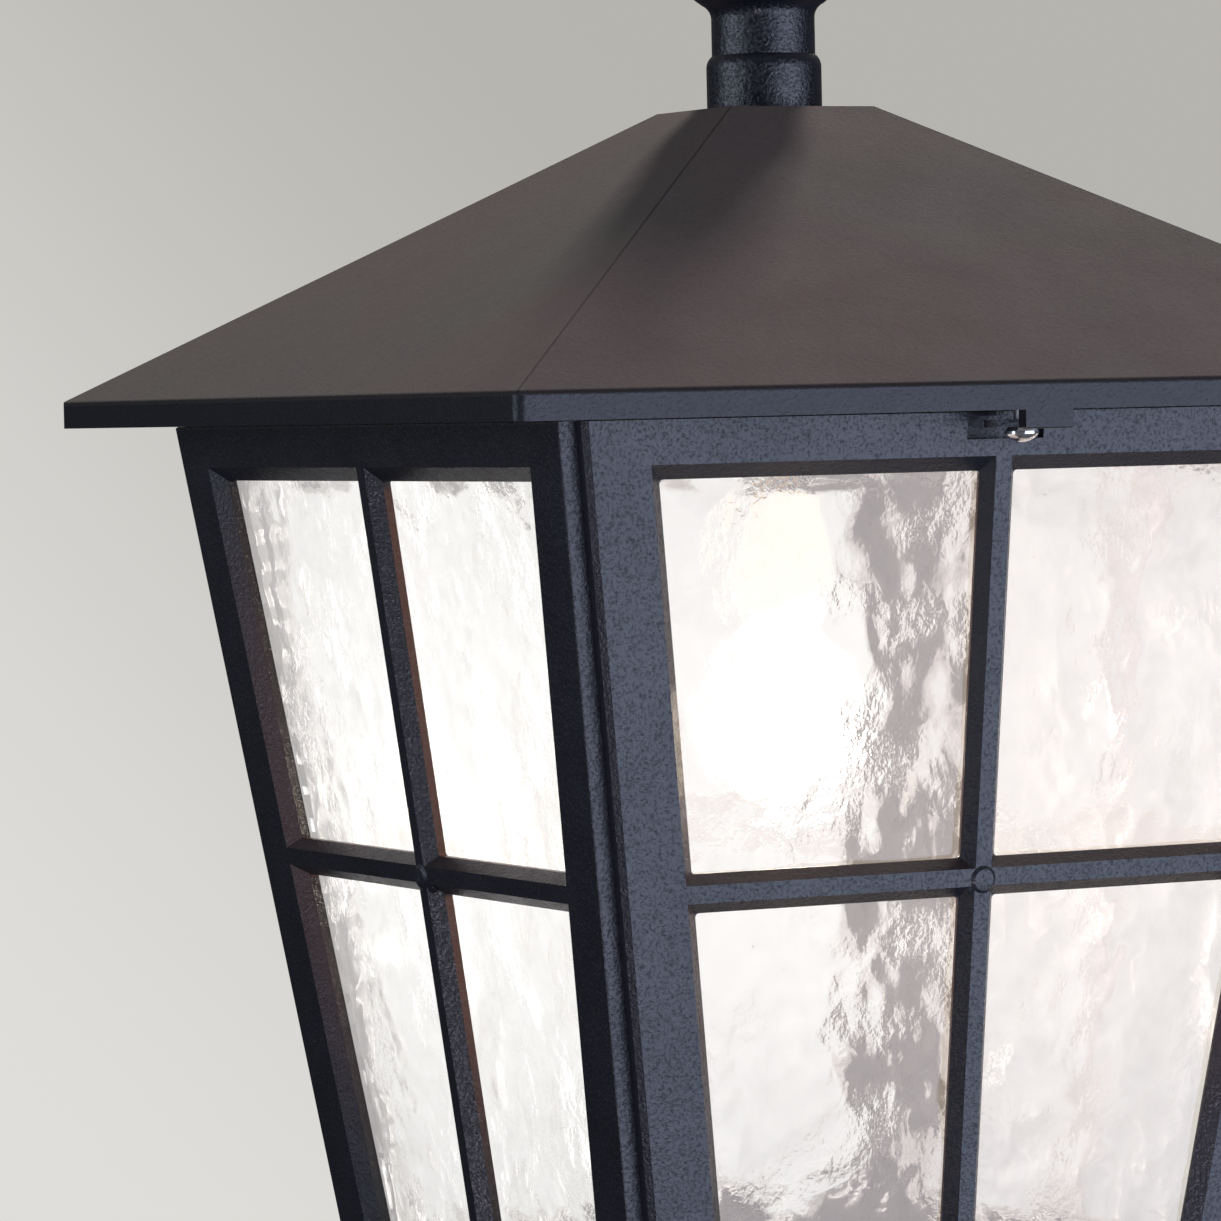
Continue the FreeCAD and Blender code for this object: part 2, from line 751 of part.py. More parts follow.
def make_frog_bolts():
    bolts = []
    head_top = bolt_seat_z + pad_bolt_head_height
    heads = frog_bolt_tools(pad_bolt_head_radius, bolt_seat_z, head_top)
    shanks = frog_bolt_tools(pad_bolt_radius, frog_top_z - pad_bolt_depth, bolt_seat_z)
    sockets = frog_bolt_tools(pad_bolt_key_radius, head_top - pad_bolt_key_depth, head_top + 1)
    for head, shank, socket in zip(heads, shanks, sockets):
        bolts.append(fuse([head, shank]).cut(socket))
    return Part.makeCompound(bolts)


tray_half_x = body_bottom_half - side_frame_thickness - 0.5
tray_half_y = body_bottom_half - front_edge_setback - 0.5
grommet_radius = 9.0


def make_floor_tray():
    plate = block(-tray_half_x, tray_half_x, -tray_half_y, tray_half_y,
                  frames_bottom_z, frames_bottom_z + tray_thickness)
    return plate.cut(rod(grommet_radius, V(0, 0, frames_bottom_z - 1), Z_AXIS, 20))


def make_cable_grommet():
    return turned([(cable_radius, -1.5), (grommet_radius - 1, -1.5), (grommet_radius - 1, 0),
                   (grommet_radius, 0), (grommet_radius, tray_thickness),
                   (grommet_radius + 2, tray_thickness), (grommet_radius + 1, tray_thickness + 2.5),
                   (cable_radius, tray_thickness + 2.5)], frames_bottom_z)


# ---- lantern frames ----------------------------------------------------------------
def light_tool(plane_half, half_width, thickness, side, upper):
    """Tool for one of a frame's four lights: a bevelled opening right through."""
    jamb = half_width - jamb_width
    outlines = []
    for depth, jamb_in, bar_half, rail_in in (
            (0.0, 0.0, bar_face / 2.0, 0.0),
            (bevel_depth, bevel_width, bar_width / 2.0, bevel_width)):
        if upper:
            s0, s1 = top_rail + rail_in, cross_below_top - bar_half
        else:
            s0, s1 = cross_below_top + bar_half, bottom_rail_s - rail_in
        outer = (side * (jamb - jamb_in), -side * taper)
        inner = (side * bar_half, 0.0)
        left, right = (inner, outer) if side > 0 else (outer, inner)
        outlines.append((left, right, s0, s1, depth))
    wires = [leaning_wire(plane_half, *outline) for outline in outlines]
    bevel = Part.makeLoft(wires, True, True)
    left, right, s0, s1, depth = outlines[1]
    through = leaning_plate(plane_half, left, right, s0, s1, depth, thickness + 1.0)
    corner_edges = [e for e in through.Edges if runs_along_y(e)]
    through = through.makeFillet(light_corner_radius, corner_edges)
    return bevel.fuse(through)


def make_frame(plane_half, half_width, thickness, chamfer):
    """One cast frame with four lights, crossing bars and a round boss. The upright edges of
    its face are chamfered, or rounded where the chamfer is zero."""
    slab = symmetric_plate(plane_half, half_width, 0.0, body_height, 0.0, thickness)
    front = [e for e in slab.Edges if all(
        abs(-v.Y - (plane_half - taper * (frames_top_z - v.Z))) < 1e-6 for v in e.Vertexes)]
    if chamfer > 0:
        upright = [e for e in front if e.BoundBox.ZLength > body_height / 2.0]
        slab = slab.makeChamfer(chamfer, upright)
    else:
        slab = slab.makeFillet(frame_edge_radius, front)
    tools = []
    for side in (-1, 1):
        for upper in (True, False):
            tools.append(light_tool(plane_half, half_width, thickness, side, upper))
    lattice = slab.cut(tools)
    return fuse([lattice, make_boss(plane_half, thickness)])


def make_boss(plane_half, thickness):
    """Domed boss where the glazing bars cross."""
    z = frames_top_z - cross_below_top
    y = -(plane_half - taper * cross_below_top)
    shoulder = boss_radius - boss_shoulder
    flank_top = thickness - bevel_depth + 1.6
    outline = [(0, 0), (boss_radius, 0), (boss_radius, flank_top),
               (boss_radius - 0.7, flank_top + 2.2, shoulder, thickness - 0.6),
               (boss_top_radius, thickness + boss_proud * 0.7),
               cap(boss_top_radius, thickness + boss_proud * 0.7, thickness + boss_proud)]
    boss = turned(outline)
    boss.rotate(ORIGIN, V(1, 0, 0), 90 + math.degrees(math.atan(taper)))
    boss.translate(V(0, y + thickness, z))
    return boss


def pane_levels():
    """Top and bottom of a pane measured down from the frame's top."""
    top = top_rail + bevel_width - pane_overlap
    bottom = bottom_rail_s - bevel_width + pane_overlap
    return top, bottom


def make_pane(plane_half, half_width, thickness):
    top, bottom = pane_levels()
    half = half_width - jamb_width - bevel_width + pane_overlap
    depth = thickness + pane_seal_thickness
    return symmetric_plate(plane_half, half, top, bottom, depth, depth + pane_thickness)


def make_pane_seal(plane_half, half_width, thickness):
    top, bottom = pane_levels()
    half = half_width - jamb_width - bevel_width + pane_overlap
    depth = thickness
    margin = pane_overlap - 1.0
    outer = symmetric_plate(plane_half, half, top, bottom, depth, depth + pane_seal_thickness)
    inner = symmetric_plate(plane_half, half - margin, top + margin, bottom - margin,
                            depth - 1.0, depth + pane_seal_thickness + 1.0)
    return outer.cut(inner)


def clips_for(plane_half, thickness):
    """Four clips that hold one pane, at its top and bottom edges."""
    top, bottom = pane_levels()
    reach = pane_seal_thickness + pane_thickness
    clips = []
    for u in (-70.0, 70.0):
        for edge_s, away in ((top, -1), (bottom, 1)):
            near = edge_s + away * 0.4
            far = edge_s + away * 8.0
            over = edge_s - away * 5.0
            foot = leaning_plate(plane_half, (u - 6, 0), (u + 6, 0), min(near, far), max(near, far),
                                 thickness, thickness + reach + 1.5)
            lip = leaning_plate(plane_half, (u - 6, 0), (u + 6, 0), min(over, far), max(over, far),
                                thickness + reach, thickness + reach + 1.5)
            clips.append(fuse([foot, lip]))
    return clips


front_frame = make_frame(face_plane_half, face_half_width, face_frame_thickness, face_frame_chamfer)
side_frame = make_frame(body_top_half, side_edge_half, side_frame_thickness, 0.0)


def catch_pocket():
    """Blind pocket in the front frame's top rail that the catch tongue turns into."""
    top = frames_top_z - pocket_lip
    depth = face_frame_thickness - pocket_floor
    plane = face_plane_half - taper * pocket_lip
    return block(-pocket_half_width, pocket_half_width, -face_plane_half - 1, -plane + depth,
                 top - pocket_height, top)


def make_corner_angle(index):
    """Angle strip inside one corner of the lantern, leaning with it."""
    side_x = body_top_half - side_frame_thickness
    corner_y = side_edge_half
    s0 = 6.0
    s1 = body_height - tray_thickness - 2.0
    wires = []
    outline = [(0, 0), (-angle_leg, 0), (-angle_leg, -angle_thickness),
               (-angle_thickness, -angle_thickness), (-angle_thickness, -angle_leg), (0, -angle_leg)]
    mirror_x = 1 if index in (0, 3) else -1
    mirror_y = 1 if index in (0, 1) else -1
    for s in (s0, s1):
        points = []
        for dx, dy in outline:
            x = mirror_x * (side_x - taper * s + dx)
            y = mirror_y * (corner_y - taper * s + dy)
            points.append(V(x, y, frames_top_z - s))
        wires.append(polygon_wire(points))
    angle = Part.makeLoft(wires, True, True)
    hole = corner_screw_radius + running_clearance
    return angle.cut(corner_screw_cylinders(mirror_x, mirror_y, hole, 0.0))


def corner_screw_cylinders(mirror_x, mirror_y, radius, head):
    """Screws through one corner angle into both frames; head adds a screw head."""
    screws = []
    for s in (30.0, body_height - 40.0):
        x_plane = body_top_half - side_frame_thickness - taper * s
        y_plane = side_edge_half - taper * s
        z = frames_top_z - s
        inset = angle_leg * 0.6
        for start, direction in (
                (V(mirror_x * (x_plane - angle_thickness), mirror_y * (y_plane - inset), z),
                 V(mirror_x, 0, 0)),
                (V(mirror_x * (x_plane - inset), mirror_y * (y_plane - angle_thickness), z),
                 V(0, mirror_y, 0))):
            begin = start - direction * 1.0
            shank = rod(radius, begin, direction, angle_thickness + 5.0)
            if head:
                back = begin - direction * corner_screw_head_height
                shank = fuse([shank, rod(head, back, direction, corner_screw_head_height)])
            screws.append(shank)
    return screws


def corner_directions():
    """Signs of the four corners."""
    return [(1, 1), (-1, 1), (-1, -1), (1, -1)]


def make_corner_screws():
    screws = []
    for mirror_x, mirror_y in corner_directions():
        screws += corner_screw_cylinders(mirror_x, mirror_y, corner_screw_radius, corner_screw_head_radius)
    return Part.makeCompound(screws)


def all_screw_tools():
    tools = []
    for mirror_x, mirror_y in corner_directions():
        tools += corner_screw_cylinders(mirror_x, mirror_y, corner_screw_radius + running_clearance, 0.0)
    return tools


# ---- lamp --------------------------------------------------------------------------
holder_top_z = frames_top_z - holder_top_below
holder_bottom_z = holder_top_z - holder_height
bridge_top_z = frames_top_z - bridge_drop
cable_entry_x = holder_radius - 6.0


def make_lamp_bridge():
    inner = body_top_half - side_frame_thickness
    half_w = bridge_width / 2.0
    end = inner - taper * (bridge_drop + bridge_thickness)
    strip = block(-end, end, -half_w, half_w, bridge_top_z - bridge_thickness, bridge_top_z)
    flange = leaning_plate(body_top_half, (-half_w, 0), (half_w, 0), bridge_drop,
                           bridge_drop + 9.0, side_frame_thickness,
                           side_frame_thickness + bridge_thickness)
    bridge = fuse([strip, turn(flange, -90), turn(flange, 90)])
    return bridge.cut(rod(nipple_radius, V(0, 0, bridge_top_z - 20), Z_AXIS, 40))


def make_holder_nipple():
    top = bridge_top_z
    tube = rod(nipple_radius, V(0, 0, holder_top_z), Z_AXIS, top + 2.0 - holder_top_z)
    locknut = rod(nipple_radius + 3.0, V(0, 0, top), Z_AXIS, 3.0)
    lower_nut = rod(nipple_radius + 3.0, V(0, 0, top - bridge_thickness - 4.0), Z_AXIS, 4.0)
    bore = rod(nipple_radius - 1.5, V(0, 0, holder_top_z - 1), Z_AXIS, 60)
    return fuse([tube, locknut, lower_nut]).cut(bore)


def make_lampholder():
    radius = holder_radius
    return turned([(0, 0), (radius - 2, 0), (radius, -3.0), (radius, -holder_height * 0.55),
                   (radius + 2, -holder_height * 0.6), (radius + 2, -holder_height),
                   (bulb_cap_radius + 2.0, -holder_height), (bulb_cap_radius + 0.3, -holder_height + 3),
                   (bulb_cap_radius + 0.3, -holder_height + 27.0), (0, -holder_height + 27.0)],
                  holder_top_z)


bulb_top_z = holder_bottom_z + 26.5


def make_bulb_cap():
    radius = bulb_cap_radius
    return turned([(0, 0), (4.5, 0), (4.5, -2.0), (9.0, -3.5), (radius, -5.0), (radius, -24.0),
                   (radius + 0.2, -27.0), (0, -27.0)], bulb_top_z)


def bulb_outline(wall):
    """Pear-shaped envelope, thinner by wall."""
    radius = bulb_radius - wall
    neck = bulb_cap_radius - 0.6 - wall
    centre = -27.0 - 52.0
    return [(0, -27.0), (neck, -27.0), (neck + 1.2, -36.0, neck + 5.0, -47.0),
            (radius - 3.6, centre + 13.0), (radius, centre, radius * math.cos(math.radians(35)),
            centre - radius * math.sin(math.radians(35))),
            (radius * math.sin(math.radians(25)), centre - radius * math.cos(math.radians(25)),
             0, centre - radius)]


def make_bulb_glass():
    outside = turned(bulb_outline(0.0), bulb_top_z)
    inside = turned(bulb_outline(1.0), bulb_top_z)
    return outside.cut(inside)


def make_riser_cable():
    gland_top = cutout_top + gland_height
    corner_in = 14.0
    low_s = body_height - 34.0
    high_s = bridge_drop + bridge_thickness + cable_radius + 2.0
    corner_x = body_top_half - side_frame_thickness - corner_in
    corner_y = side_edge_half - corner_in
    run_x = corner_x - 8.0
    points = [
        V(0, gland_y, cutout_top),
        V(0, gland_y, gland_top + 60.0),
        V(0, 0, pedestal_box_height - 30.0),
        V(0, 0, frames_top_z - low_s),
        V(corner_x - taper * low_s, corner_y - taper * low_s, frames_top_z - low_s + 6.0),
        V(corner_x - taper * high_s, corner_y - taper * high_s, frames_top_z - high_s),
        V(run_x - 4.0, 0, frames_top_z - high_s),
        V(cable_entry_x, 0, frames_top_z - high_s),
        V(cable_entry_x, 0, holder_top_z),
    ]
    path = rounded_path(points, 14.0)
    start = points[0]
    circle = Part.Wire(Part.makeCircle(cable_radius, start, Z_AXIS))
    cable = path.makePipeShell([circle], True, False)
    section = math.pi * cable_radius ** 2
    print("riser cable length %.1f mm, volume ratio %.4f"
          % (path.Length, cable.Volume / (section * path.Length)))
    return cable


# ---- roof --------------------------------------------------------------------------
slope = roof_rise / (eave_half - roof_flat_half)
roof_axis_y = face_plane_half + roof_axis_offset
roof_axis_z = soffit_z - roof_axis_drop
catch_y = -(face_plane_half + catch_setback)


def make_roof():
    section = roof_section()
    across = section.extrude(V(0, 2 * eave_half, 0))
    along = turn(across, 90)
    rounding = block(-eave_half, eave_half, -eave_half, eave_half, soffit_z - 1, roof_top_z + 1)
    rounding = rounding.makeFillet(eave_corner_radius, [e for e in rounding.Edges if is_upright(e)])
    solid = across.common(along).common(rounding)
    inner_eave = eave_half - roof_wall
    wall_rise = roof_wall * math.sqrt(1.0 + slope * slope) - roof_wall * slope
    inner_top = roof_top_z - roof_wall
    inner_flat = inner_eave - (inner_top - eave_z + wall_rise) / slope
    skirt = block(-inner_eave, inner_eave, -inner_eave, inner_eave, soffit_z - 1, eave_z - wall_rise)
    hollow = frustum(inner_eave, inner_flat, eave_z - wall_rise, inner_top)
    shell = solid.cut([skirt, hollow])
    tab = block(-tab_half_width, tab_half_width, -(eave_half - tab_recess),
                -(eave_half - tab_recess - tab_thickness), soffit_z - tab_drop, soffit_z + 4.0)
    lower = [e for e in tab.Edges if all(abs(v.Z - soffit_z + tab_drop) < 1e-6 for v in e.Vertexes)]
    tab = tab.makeFillet(0.8, lower)
    hole = rod(stud_radius + running_clearance, V(0, 0, roof_top_z - 20), Z_AXIS, 40)
    return fuse([shell, tab]).cut(hole)


def roof_section():
    """Outer section of the roof through the middle of two opposite sides."""
    pitch = math.atan(slope)
    half_turn = (math.pi / 2.0 - pitch) / 2.0
    setback = arris_radius * math.tan(half_turn)
    middle = arris_radius * (1.0 / math.cos(half_turn) - 1.0)
    inward = math.pi + (math.pi / 2.0 - half_turn) - pitch
    y = -eave_half
    edges = []
    right_low = V(eave_half, y, soffit_z)
    arc_start = V(eave_half, y, eave_z - setback)
    arc_middle = V(eave_half + middle * math.cos(inward), y, eave_z + middle * math.sin(inward))
    arc_end = V(eave_half - setback * math.cos(pitch), y, eave_z + setback * math.sin(pitch))
    flat_end = V(roof_flat_half, y, roof_top_z)
    edges.append(Part.LineSegment(right_low, arc_start).toShape())
    edges.append(Part.Arc(arc_start, arc_middle, arc_end).toShape())
    edges.append(Part.LineSegment(arc_end, flat_end).toShape())
    mirrored = [edge.mirror(ORIGIN, V(1, 0, 0)) for edge in edges]
    left_low, left_flat = V(-eave_half, y, soffit_z), V(-roof_flat_half, y, roof_top_z)
    closing = [Part.LineSegment(flat_end, left_flat).toShape(),
               Part.LineSegment(left_low, right_low).toShape()]
    return Part.Face(Part.Wire(Part.__sortEdges__(edges + mirrored + closing)))


liner_half = eave_half - roof_wall


def make_roof_liner():
    plate = block(-liner_half, liner_half, -liner_half, liner_half, soffit_z,
                  soffit_z + liner_thickness)
    tab_notch = block(-tab_half_width - 1, tab_half_width + 1, -liner_half - 1,
                      -(eave_half - tab_recess - tab_thickness) + 0.5, soffit_z - 1, soffit_z + 10)
    spindle_hole = rod(3.0 + running_clearance, V(0, catch_y, soffit_z - 1), Z_AXIS, 10)
    return plate.cut([tab_notch, spindle_hole])


def make_roof_seal():
    inner_x = body_top_half - side_frame_thickness + 1.0
    outer = side_edge_half + 2.0
    ring = block(-outer, outer, -outer, outer, frames_top_z, frames_top_z + roof_seal_height)
    return ring.cut(block(-inner_x, inner_x, -inner_x, inner_x, frames_top_z - 1, frames_top_z + 9))


def make_finial_neck():
    collar = finial_collar_radius
    waist = finial_waist_radius
    height = finial_neck_height
    shoulder = finial_collar_height
    lip = finial_collar_shoulder
    flare = finial_flare_height
    top = height + finial_disc_height
    return turned([
        (stud_radius + running_clearance, 0), (collar, 0), (collar, shoulder - lip),
        (collar - 0.7, shoulder - 0.45 * lip, waist, shoulder),
        (waist, height - flare),
        (waist + 1.1, height - 0.62 * flare, waist + 3.8, height - 0.35 * flare),
        (waist + 7.0, height - 0.5), (waist + 9.0, height + 3.4, waist + 6.0, height + 7.0),
        (finial_foot_radius, top), (stud_radius + running_clearance, top),
    ], roof_top_z)


def make_finial_ball():
    base = finial_neck_height + finial_disc_height
    radius = finial_ball_radius
    foot = finial_foot_radius
    centre = base + 3.0 + math.sqrt(radius ** 2 - foot ** 2)
    crown = centre + math.sqrt(radius ** 2 - 9.0 ** 2)
    top = finial_height
    return turned([
        (0, base), (foot, base), (foot, base + 3.0),
        (radius, centre, 9.0, crown),
        (12.0, crown + 1.0), (13.5, crown + 4.0, 12.0, crown + 7.0), (7.0, crown + 9.0),
        (6.0, crown + 16.0, 9.0, crown + 22.0), (10.5, crown + 28.0, 8.0, crown + 35.0),
        (0.8, top), (0, top),
    ], roof_top_z).cut(rod(stud_radius, V(0, 0, roof_top_z + base - 1), Z_AXIS, finial_stud_reach + 1))


def make_finial_stud():
    bottom = roof_top_z - roof_wall - finial_stud_tail
    top = roof_top_z + finial_neck_height + finial_disc_height + finial_stud_reach
    return rod(stud_radius, V(0, 0, bottom), Z_AXIS, top - bottom)


def make_finial_nut():
    top = roof_top_z - roof_wall
    seat = top - finial_washer_thickness
    corners = []
    for index in range(6):
        angle = math.radians(60.0 * index)
        corners.append(V(finial_nut_radius * math.cos(angle), finial_nut_radius * math.sin(angle), seat))
    nut = Part.Face(polygon_wire(corners)).extrude(V(0, 0, -finial_nut_height))
    washer = rod(finial_washer_radius, V(0, 0, seat), Z_AXIS, finial_washer_thickness)
    bore = rod(stud_radius, V(0, 0, seat - finial_nut_height - 1), Z_AXIS, finial_nut_height + 10.0)
    return fuse([nut, washer]).cut(bore)


# ---- roof hinge --------------------------------------------------------------------
def make_roof_leaf():
    """Leaf under the roof liner with the middle knuckle."""
    inner = roof_axis_y - 4.0
    plate = block(-roof_leaf_half, roof_leaf_half, inner, inner + roof_leaf_width,
                  soffit_z - leaf_thickness, soffit_z)
    barrel = rod(roof_knuckle_radius, V(-roof_knuckle_half, roof_axis_y, roof_axis_z),
                 V(1, 0, 0), 2 * roof_knuckle_half)
    web = block(-roof_knuckle_half, roof_knuckle_half, roof_axis_y, roof_axis_y + roof_knuckle_radius,
                roof_axis_z, soffit_z - leaf_thickness + 0.5)
    bore = rod(roof_pin_radius + running_clearance, V(-40, roof_axis_y, roof_axis_z), V(1, 0, 0), 80)
    return fuse([plate, barrel, web]).cut(bore)


def make_body_leaf():
    """Leaf on the rear frame with the two outer knuckles."""
    plate = leaning_plate(face_plane_half, (-roof_leaf_half, 0), (roof_leaf_half, 0), 2.0, 18.0,
                          -leaf_thickness, 0.0)
    pieces = [turn(plate, 180)]
    inner = roof_knuckle_half + body_gap
    root = face_plane_half - taper * (frames_top_z - roof_axis_z)
    for side in (-1, 1):
        start = side * inner
        end = side * roof_leaf_half
        low, high = min(start, end), max(start, end)
        pieces.append(rod(roof_knuckle_radius, V(low, roof_axis_y, roof_axis_z), V(1, 0, 0),
                          high - low))
        pieces.append(block(low, high, root + 0.5, roof_axis_y, roof_axis_z - roof_knuckle_radius,
                            roof_axis_z - 0.5))
    leaf = fuse(pieces)
    return leaf.cut(rod(roof_pin_radius, V(-40, roof_axis_y, roof_axis_z), V(1, 0, 0), 80))


def make_roof_pin():
    half = roof_leaf_half + 1.5
    pin = rod(roof_pin_radius, V(-half, roof_axis_y, roof_axis_z), V(1, 0, 0), 2 * half)
    head = rod(roof_pin_radius + 1.4, V(half, roof_axis_y, roof_axis_z), V(1, 0, 0), 1.8)
    return fuse([pin, head])


# ---- roof catch --------------------------------------------------------------------
tongue_top_z = soffit_z - tongue_drop
tongue_bottom_z = tongue_top_z - tongue_thickness


def make_catch_spindle():
    spindle = rod(3.0, V(0, catch_y, tongue_bottom_z), Z_AXIS, soffit_z + 8.0 - tongue_bottom_z)
    head = rod(5.0, V(0, catch_y, soffit_z + liner_thickness + body_gap), Z_AXIS, 3.0)
    return fuse([spindle, head])


def make_catch_tongue():
    """Turn button, parked along the rail towards -X."""
    half = tongue_width / 2.0
    straight = tongue_length - half
    blade = block(-straight, 0, catch_y - half, catch_y + half, tongue_bottom_z, tongue_top_z)
    collar = rod(5.0, V(0, catch_y, tongue_bottom_z), Z_AXIS, tongue_thickness)
    tip = rod(half, V(-straight, catch_y, tongue_bottom_z), Z_AXIS, tongue_thickness)
    tongue = fuse([blade, collar, tip])
    return tongue.cut(rod(3.0, V(0, catch_y, tongue_bottom_z - 1), Z_AXIS, 10))


def make_catch_knob():
    radius = knob_radius
    height = knob_height
    rim = -height * 0.45
    knob = turned([(0, 0), (radius - 1.4, 0), (radius, -1.6), (radius, rim), cap(radius, rim, -height)],
                  tongue_bottom_z)
    return knob.translated(V(0, catch_y, 0))


# ---- write every piece -------------------------------------------------------------
screw_tools = all_screw_tools()
face_order = (("front", 0), ("right", 90), ("rear", 180), ("left", -90))
nodes = {
    "pedestal": make_pedestal(),
    "pedestal_door": make_door(),
    "door_hinge_pins": make_door_hinge_pins(),
    "door_seal": make_door_seal(),
    "door_lock_barrel": make_lock_barrel(),
    "door_lock_cam": make_lock_cam(),
    "equipment_board": make_equipment_board(),
    "cutout_base": make_cutout_base(),
    "isolator_lever": make_isolator_lever(),
    "fuse_carrier": make_fuse_carrier(),
    "cable_glands": make_glands(),
    "earth_stud": make_earth_stud(),
    "column_shaft": make_column(),
    "column_bolts": make_column_bolts(),
    "lantern_frog": make_frog(),
    "frog_set_screws": make_frog_set_screws(),
    "frog_bolts": make_frog_bolts(),
    "base_frame": make_base_frame(),
    "floor_tray": make_floor_tray(),
    "cable_grommet": make_cable_grommet(),
    "lamp_bridge": make_lamp_bridge(),
    "holder_nipple": make_holder_nipple(),
    "lampholder": make_lampholder(),
    "bulb_cap": make_bulb_cap(),
    "bulb_glass": make_bulb_glass(),
    "riser_cable": make_riser_cable(),
    "corner_screws": make_corner_screws(),
    "roof": make_roof(),
    "roof_liner": make_roof_liner(),
    "roof_seal": make_roof_seal(),
    "finial_neck": make_finial_neck(),
    "finial_ball": make_finial_ball(),
    "finial_stud": make_finial_stud(),
    "finial_nut": make_finial_nut(),
    "roof_hinge_leaf": make_roof_leaf(),
    "body_hinge_leaf": make_body_leaf(),
    "roof_hinge_pin": make_roof_pin(),
    "catch_spindle": make_catch_spindle(),
    "catch_tongue": make_catch_tongue(),
    "catch_knob": make_catch_knob(),
}
clips = []
for name, angle in face_order:
    is_face = name in ("front", "rear")
    plane = face_plane_half if is_face else body_top_half
    width = face_half_width if is_face else side_edge_half
    thickness = face_frame_thickness if is_face else side_frame_thickness
    frame = turn(front_frame if is_face else side_frame, angle)
    if name == "front":
        frame = frame.cut(catch_pocket())
    nodes["frame_" + name] = frame.cut(screw_tools)
    nodes["pane_" + name] = turn(make_pane(plane, width, thickness), angle)
    nodes["pane_seal_" + name] = turn(make_pane_seal(plane, width, thickness), angle)
    clips += [turn(clip, angle) for clip in clips_for(plane, thickness)]
nodes["pane_clips"] = Part.makeCompound(clips)
for index in range(4):
    nodes["corner_angle_%d" % (index + 1)] = make_corner_angle(index)

os.makedirs("parts", exist_ok=True)
for name, shape in sorted(nodes.items()):
    shape.exportStep(os.path.join("parts", name + ".step"))
    kind = "valid" if shape.isValid() else "INVALID"
    print("%-18s %s solids %d volume %.0f" % (name, kind, len(shape.Solids), shape.Volume))
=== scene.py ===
import math

import bpy
from bpy.props import FloatProperty, FloatVectorProperty, PointerProperty
from mathutils import Matrix, Vector, noise


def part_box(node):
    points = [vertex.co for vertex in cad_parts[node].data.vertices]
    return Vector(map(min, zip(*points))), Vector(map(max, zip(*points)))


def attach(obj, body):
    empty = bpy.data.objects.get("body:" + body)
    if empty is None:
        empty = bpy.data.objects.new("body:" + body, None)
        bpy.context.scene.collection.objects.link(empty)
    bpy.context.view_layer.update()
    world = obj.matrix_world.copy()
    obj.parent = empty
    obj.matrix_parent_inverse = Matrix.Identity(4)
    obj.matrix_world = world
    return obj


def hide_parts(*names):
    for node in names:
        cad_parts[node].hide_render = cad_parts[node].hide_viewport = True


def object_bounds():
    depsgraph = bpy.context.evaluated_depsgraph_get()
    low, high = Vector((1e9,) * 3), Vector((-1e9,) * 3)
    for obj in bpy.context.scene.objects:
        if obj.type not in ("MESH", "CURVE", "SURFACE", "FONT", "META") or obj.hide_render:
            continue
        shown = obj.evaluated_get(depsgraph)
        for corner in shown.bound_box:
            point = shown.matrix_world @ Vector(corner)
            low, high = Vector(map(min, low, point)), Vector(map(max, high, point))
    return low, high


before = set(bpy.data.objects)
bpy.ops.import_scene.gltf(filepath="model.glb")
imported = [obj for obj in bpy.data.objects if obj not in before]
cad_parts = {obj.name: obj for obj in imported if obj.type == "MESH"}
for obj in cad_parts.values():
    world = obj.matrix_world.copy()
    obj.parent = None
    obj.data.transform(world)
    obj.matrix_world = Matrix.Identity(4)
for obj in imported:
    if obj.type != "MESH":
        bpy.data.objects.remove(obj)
cad_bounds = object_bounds()

bl_info = {
    "name": "Street lamp post",
    "version": (1, 0, 0),
    "blender": (4, 5, 0),
    "location": "3D View > Sidebar > Lamp Post",
    "description": "Paint, glazing, lamp and studio for a cast street lamp post",
    "category": "Object",
}

SIDES = ("front", "right", "rear", "left")
OUTWARD = {
    "front": Vector((0, -1, 0)), "right": Vector((1, 0, 0)),
    "rear": Vector((0, 1, 0)), "left": Vector((-1, 0, 0)),
}
# Painted glow on each pane, in shares of the glass's glow colour, standing in for the lamp's light that
# the pane scatters. The rear pane is painted brightest, as lit towards the front.
PAINTED_PANE_GLOW = {
    "front": (0.79, 0.73, 0.68), "right": (0.76, 0.76, 0.77),
    "rear": (1.33, 1.40, 1.43), "left": (0.92, 0.99, 1.07),
}

# Widths of the patterns in the materials, in metres.
CASTING_LUMP = 0.011
PAINT_CLOUD = 0.035
RAIN_STREAK = 0.007
DUST_PATCH = 0.018
SPLASH_DROP = 0.006
TARNISH_PATCH = 0.006
ROOF_BLOOM = 0.16
ROOF_MOTTLE = 0.0026
MOULDING_CLOUD = 0.012
BOARD_FIBRE = 0.0015
GLASS_VEIN = 0.010
GLASS_CRINKLE = 0.006
GLASS_CALM = 0.030
BULB_FROST = 0.002
BACKDROP_WAVE = 0.10

# Heights of the bumps that are not a paint's own, in metres.
ROOF_PEEL = 0.00024
IRON_PEEL = 0.0006
METAL_MARK = 0.0001
MOULDING_GRAIN = 0.00012
BOARD_GRAIN = 0.0002
GLASS_CRINKLE_DEPTH = 0.0006

# Where the roof's two paints and its dark lines start and end, in metres from the eave or hip.
FASCIA_BLEND = (-0.0012, -0.0006)
ARRIS_START = (-0.0016, -0.0009)
ARRIS_END = (0.0002, 0.0010)
HIP_LINE = (0.0003, 0.0009)

# Distances from the lamp over which the painted spill on the reveals and the painted glow on the panes
# fade, in metres.
SPILL_FADE = (0.19, 0.27)
GLOW_FADE = (0.17, 0.30)
# How far below a pane's top edge the reveals, and the painted spill on them, begin.
REVEAL_START = (0.012, 0.008)

FLOOR_SIDES = 96
FLOOR_RINGS = (0.5, 1.0)
FLOOR_DROP = 0.0004

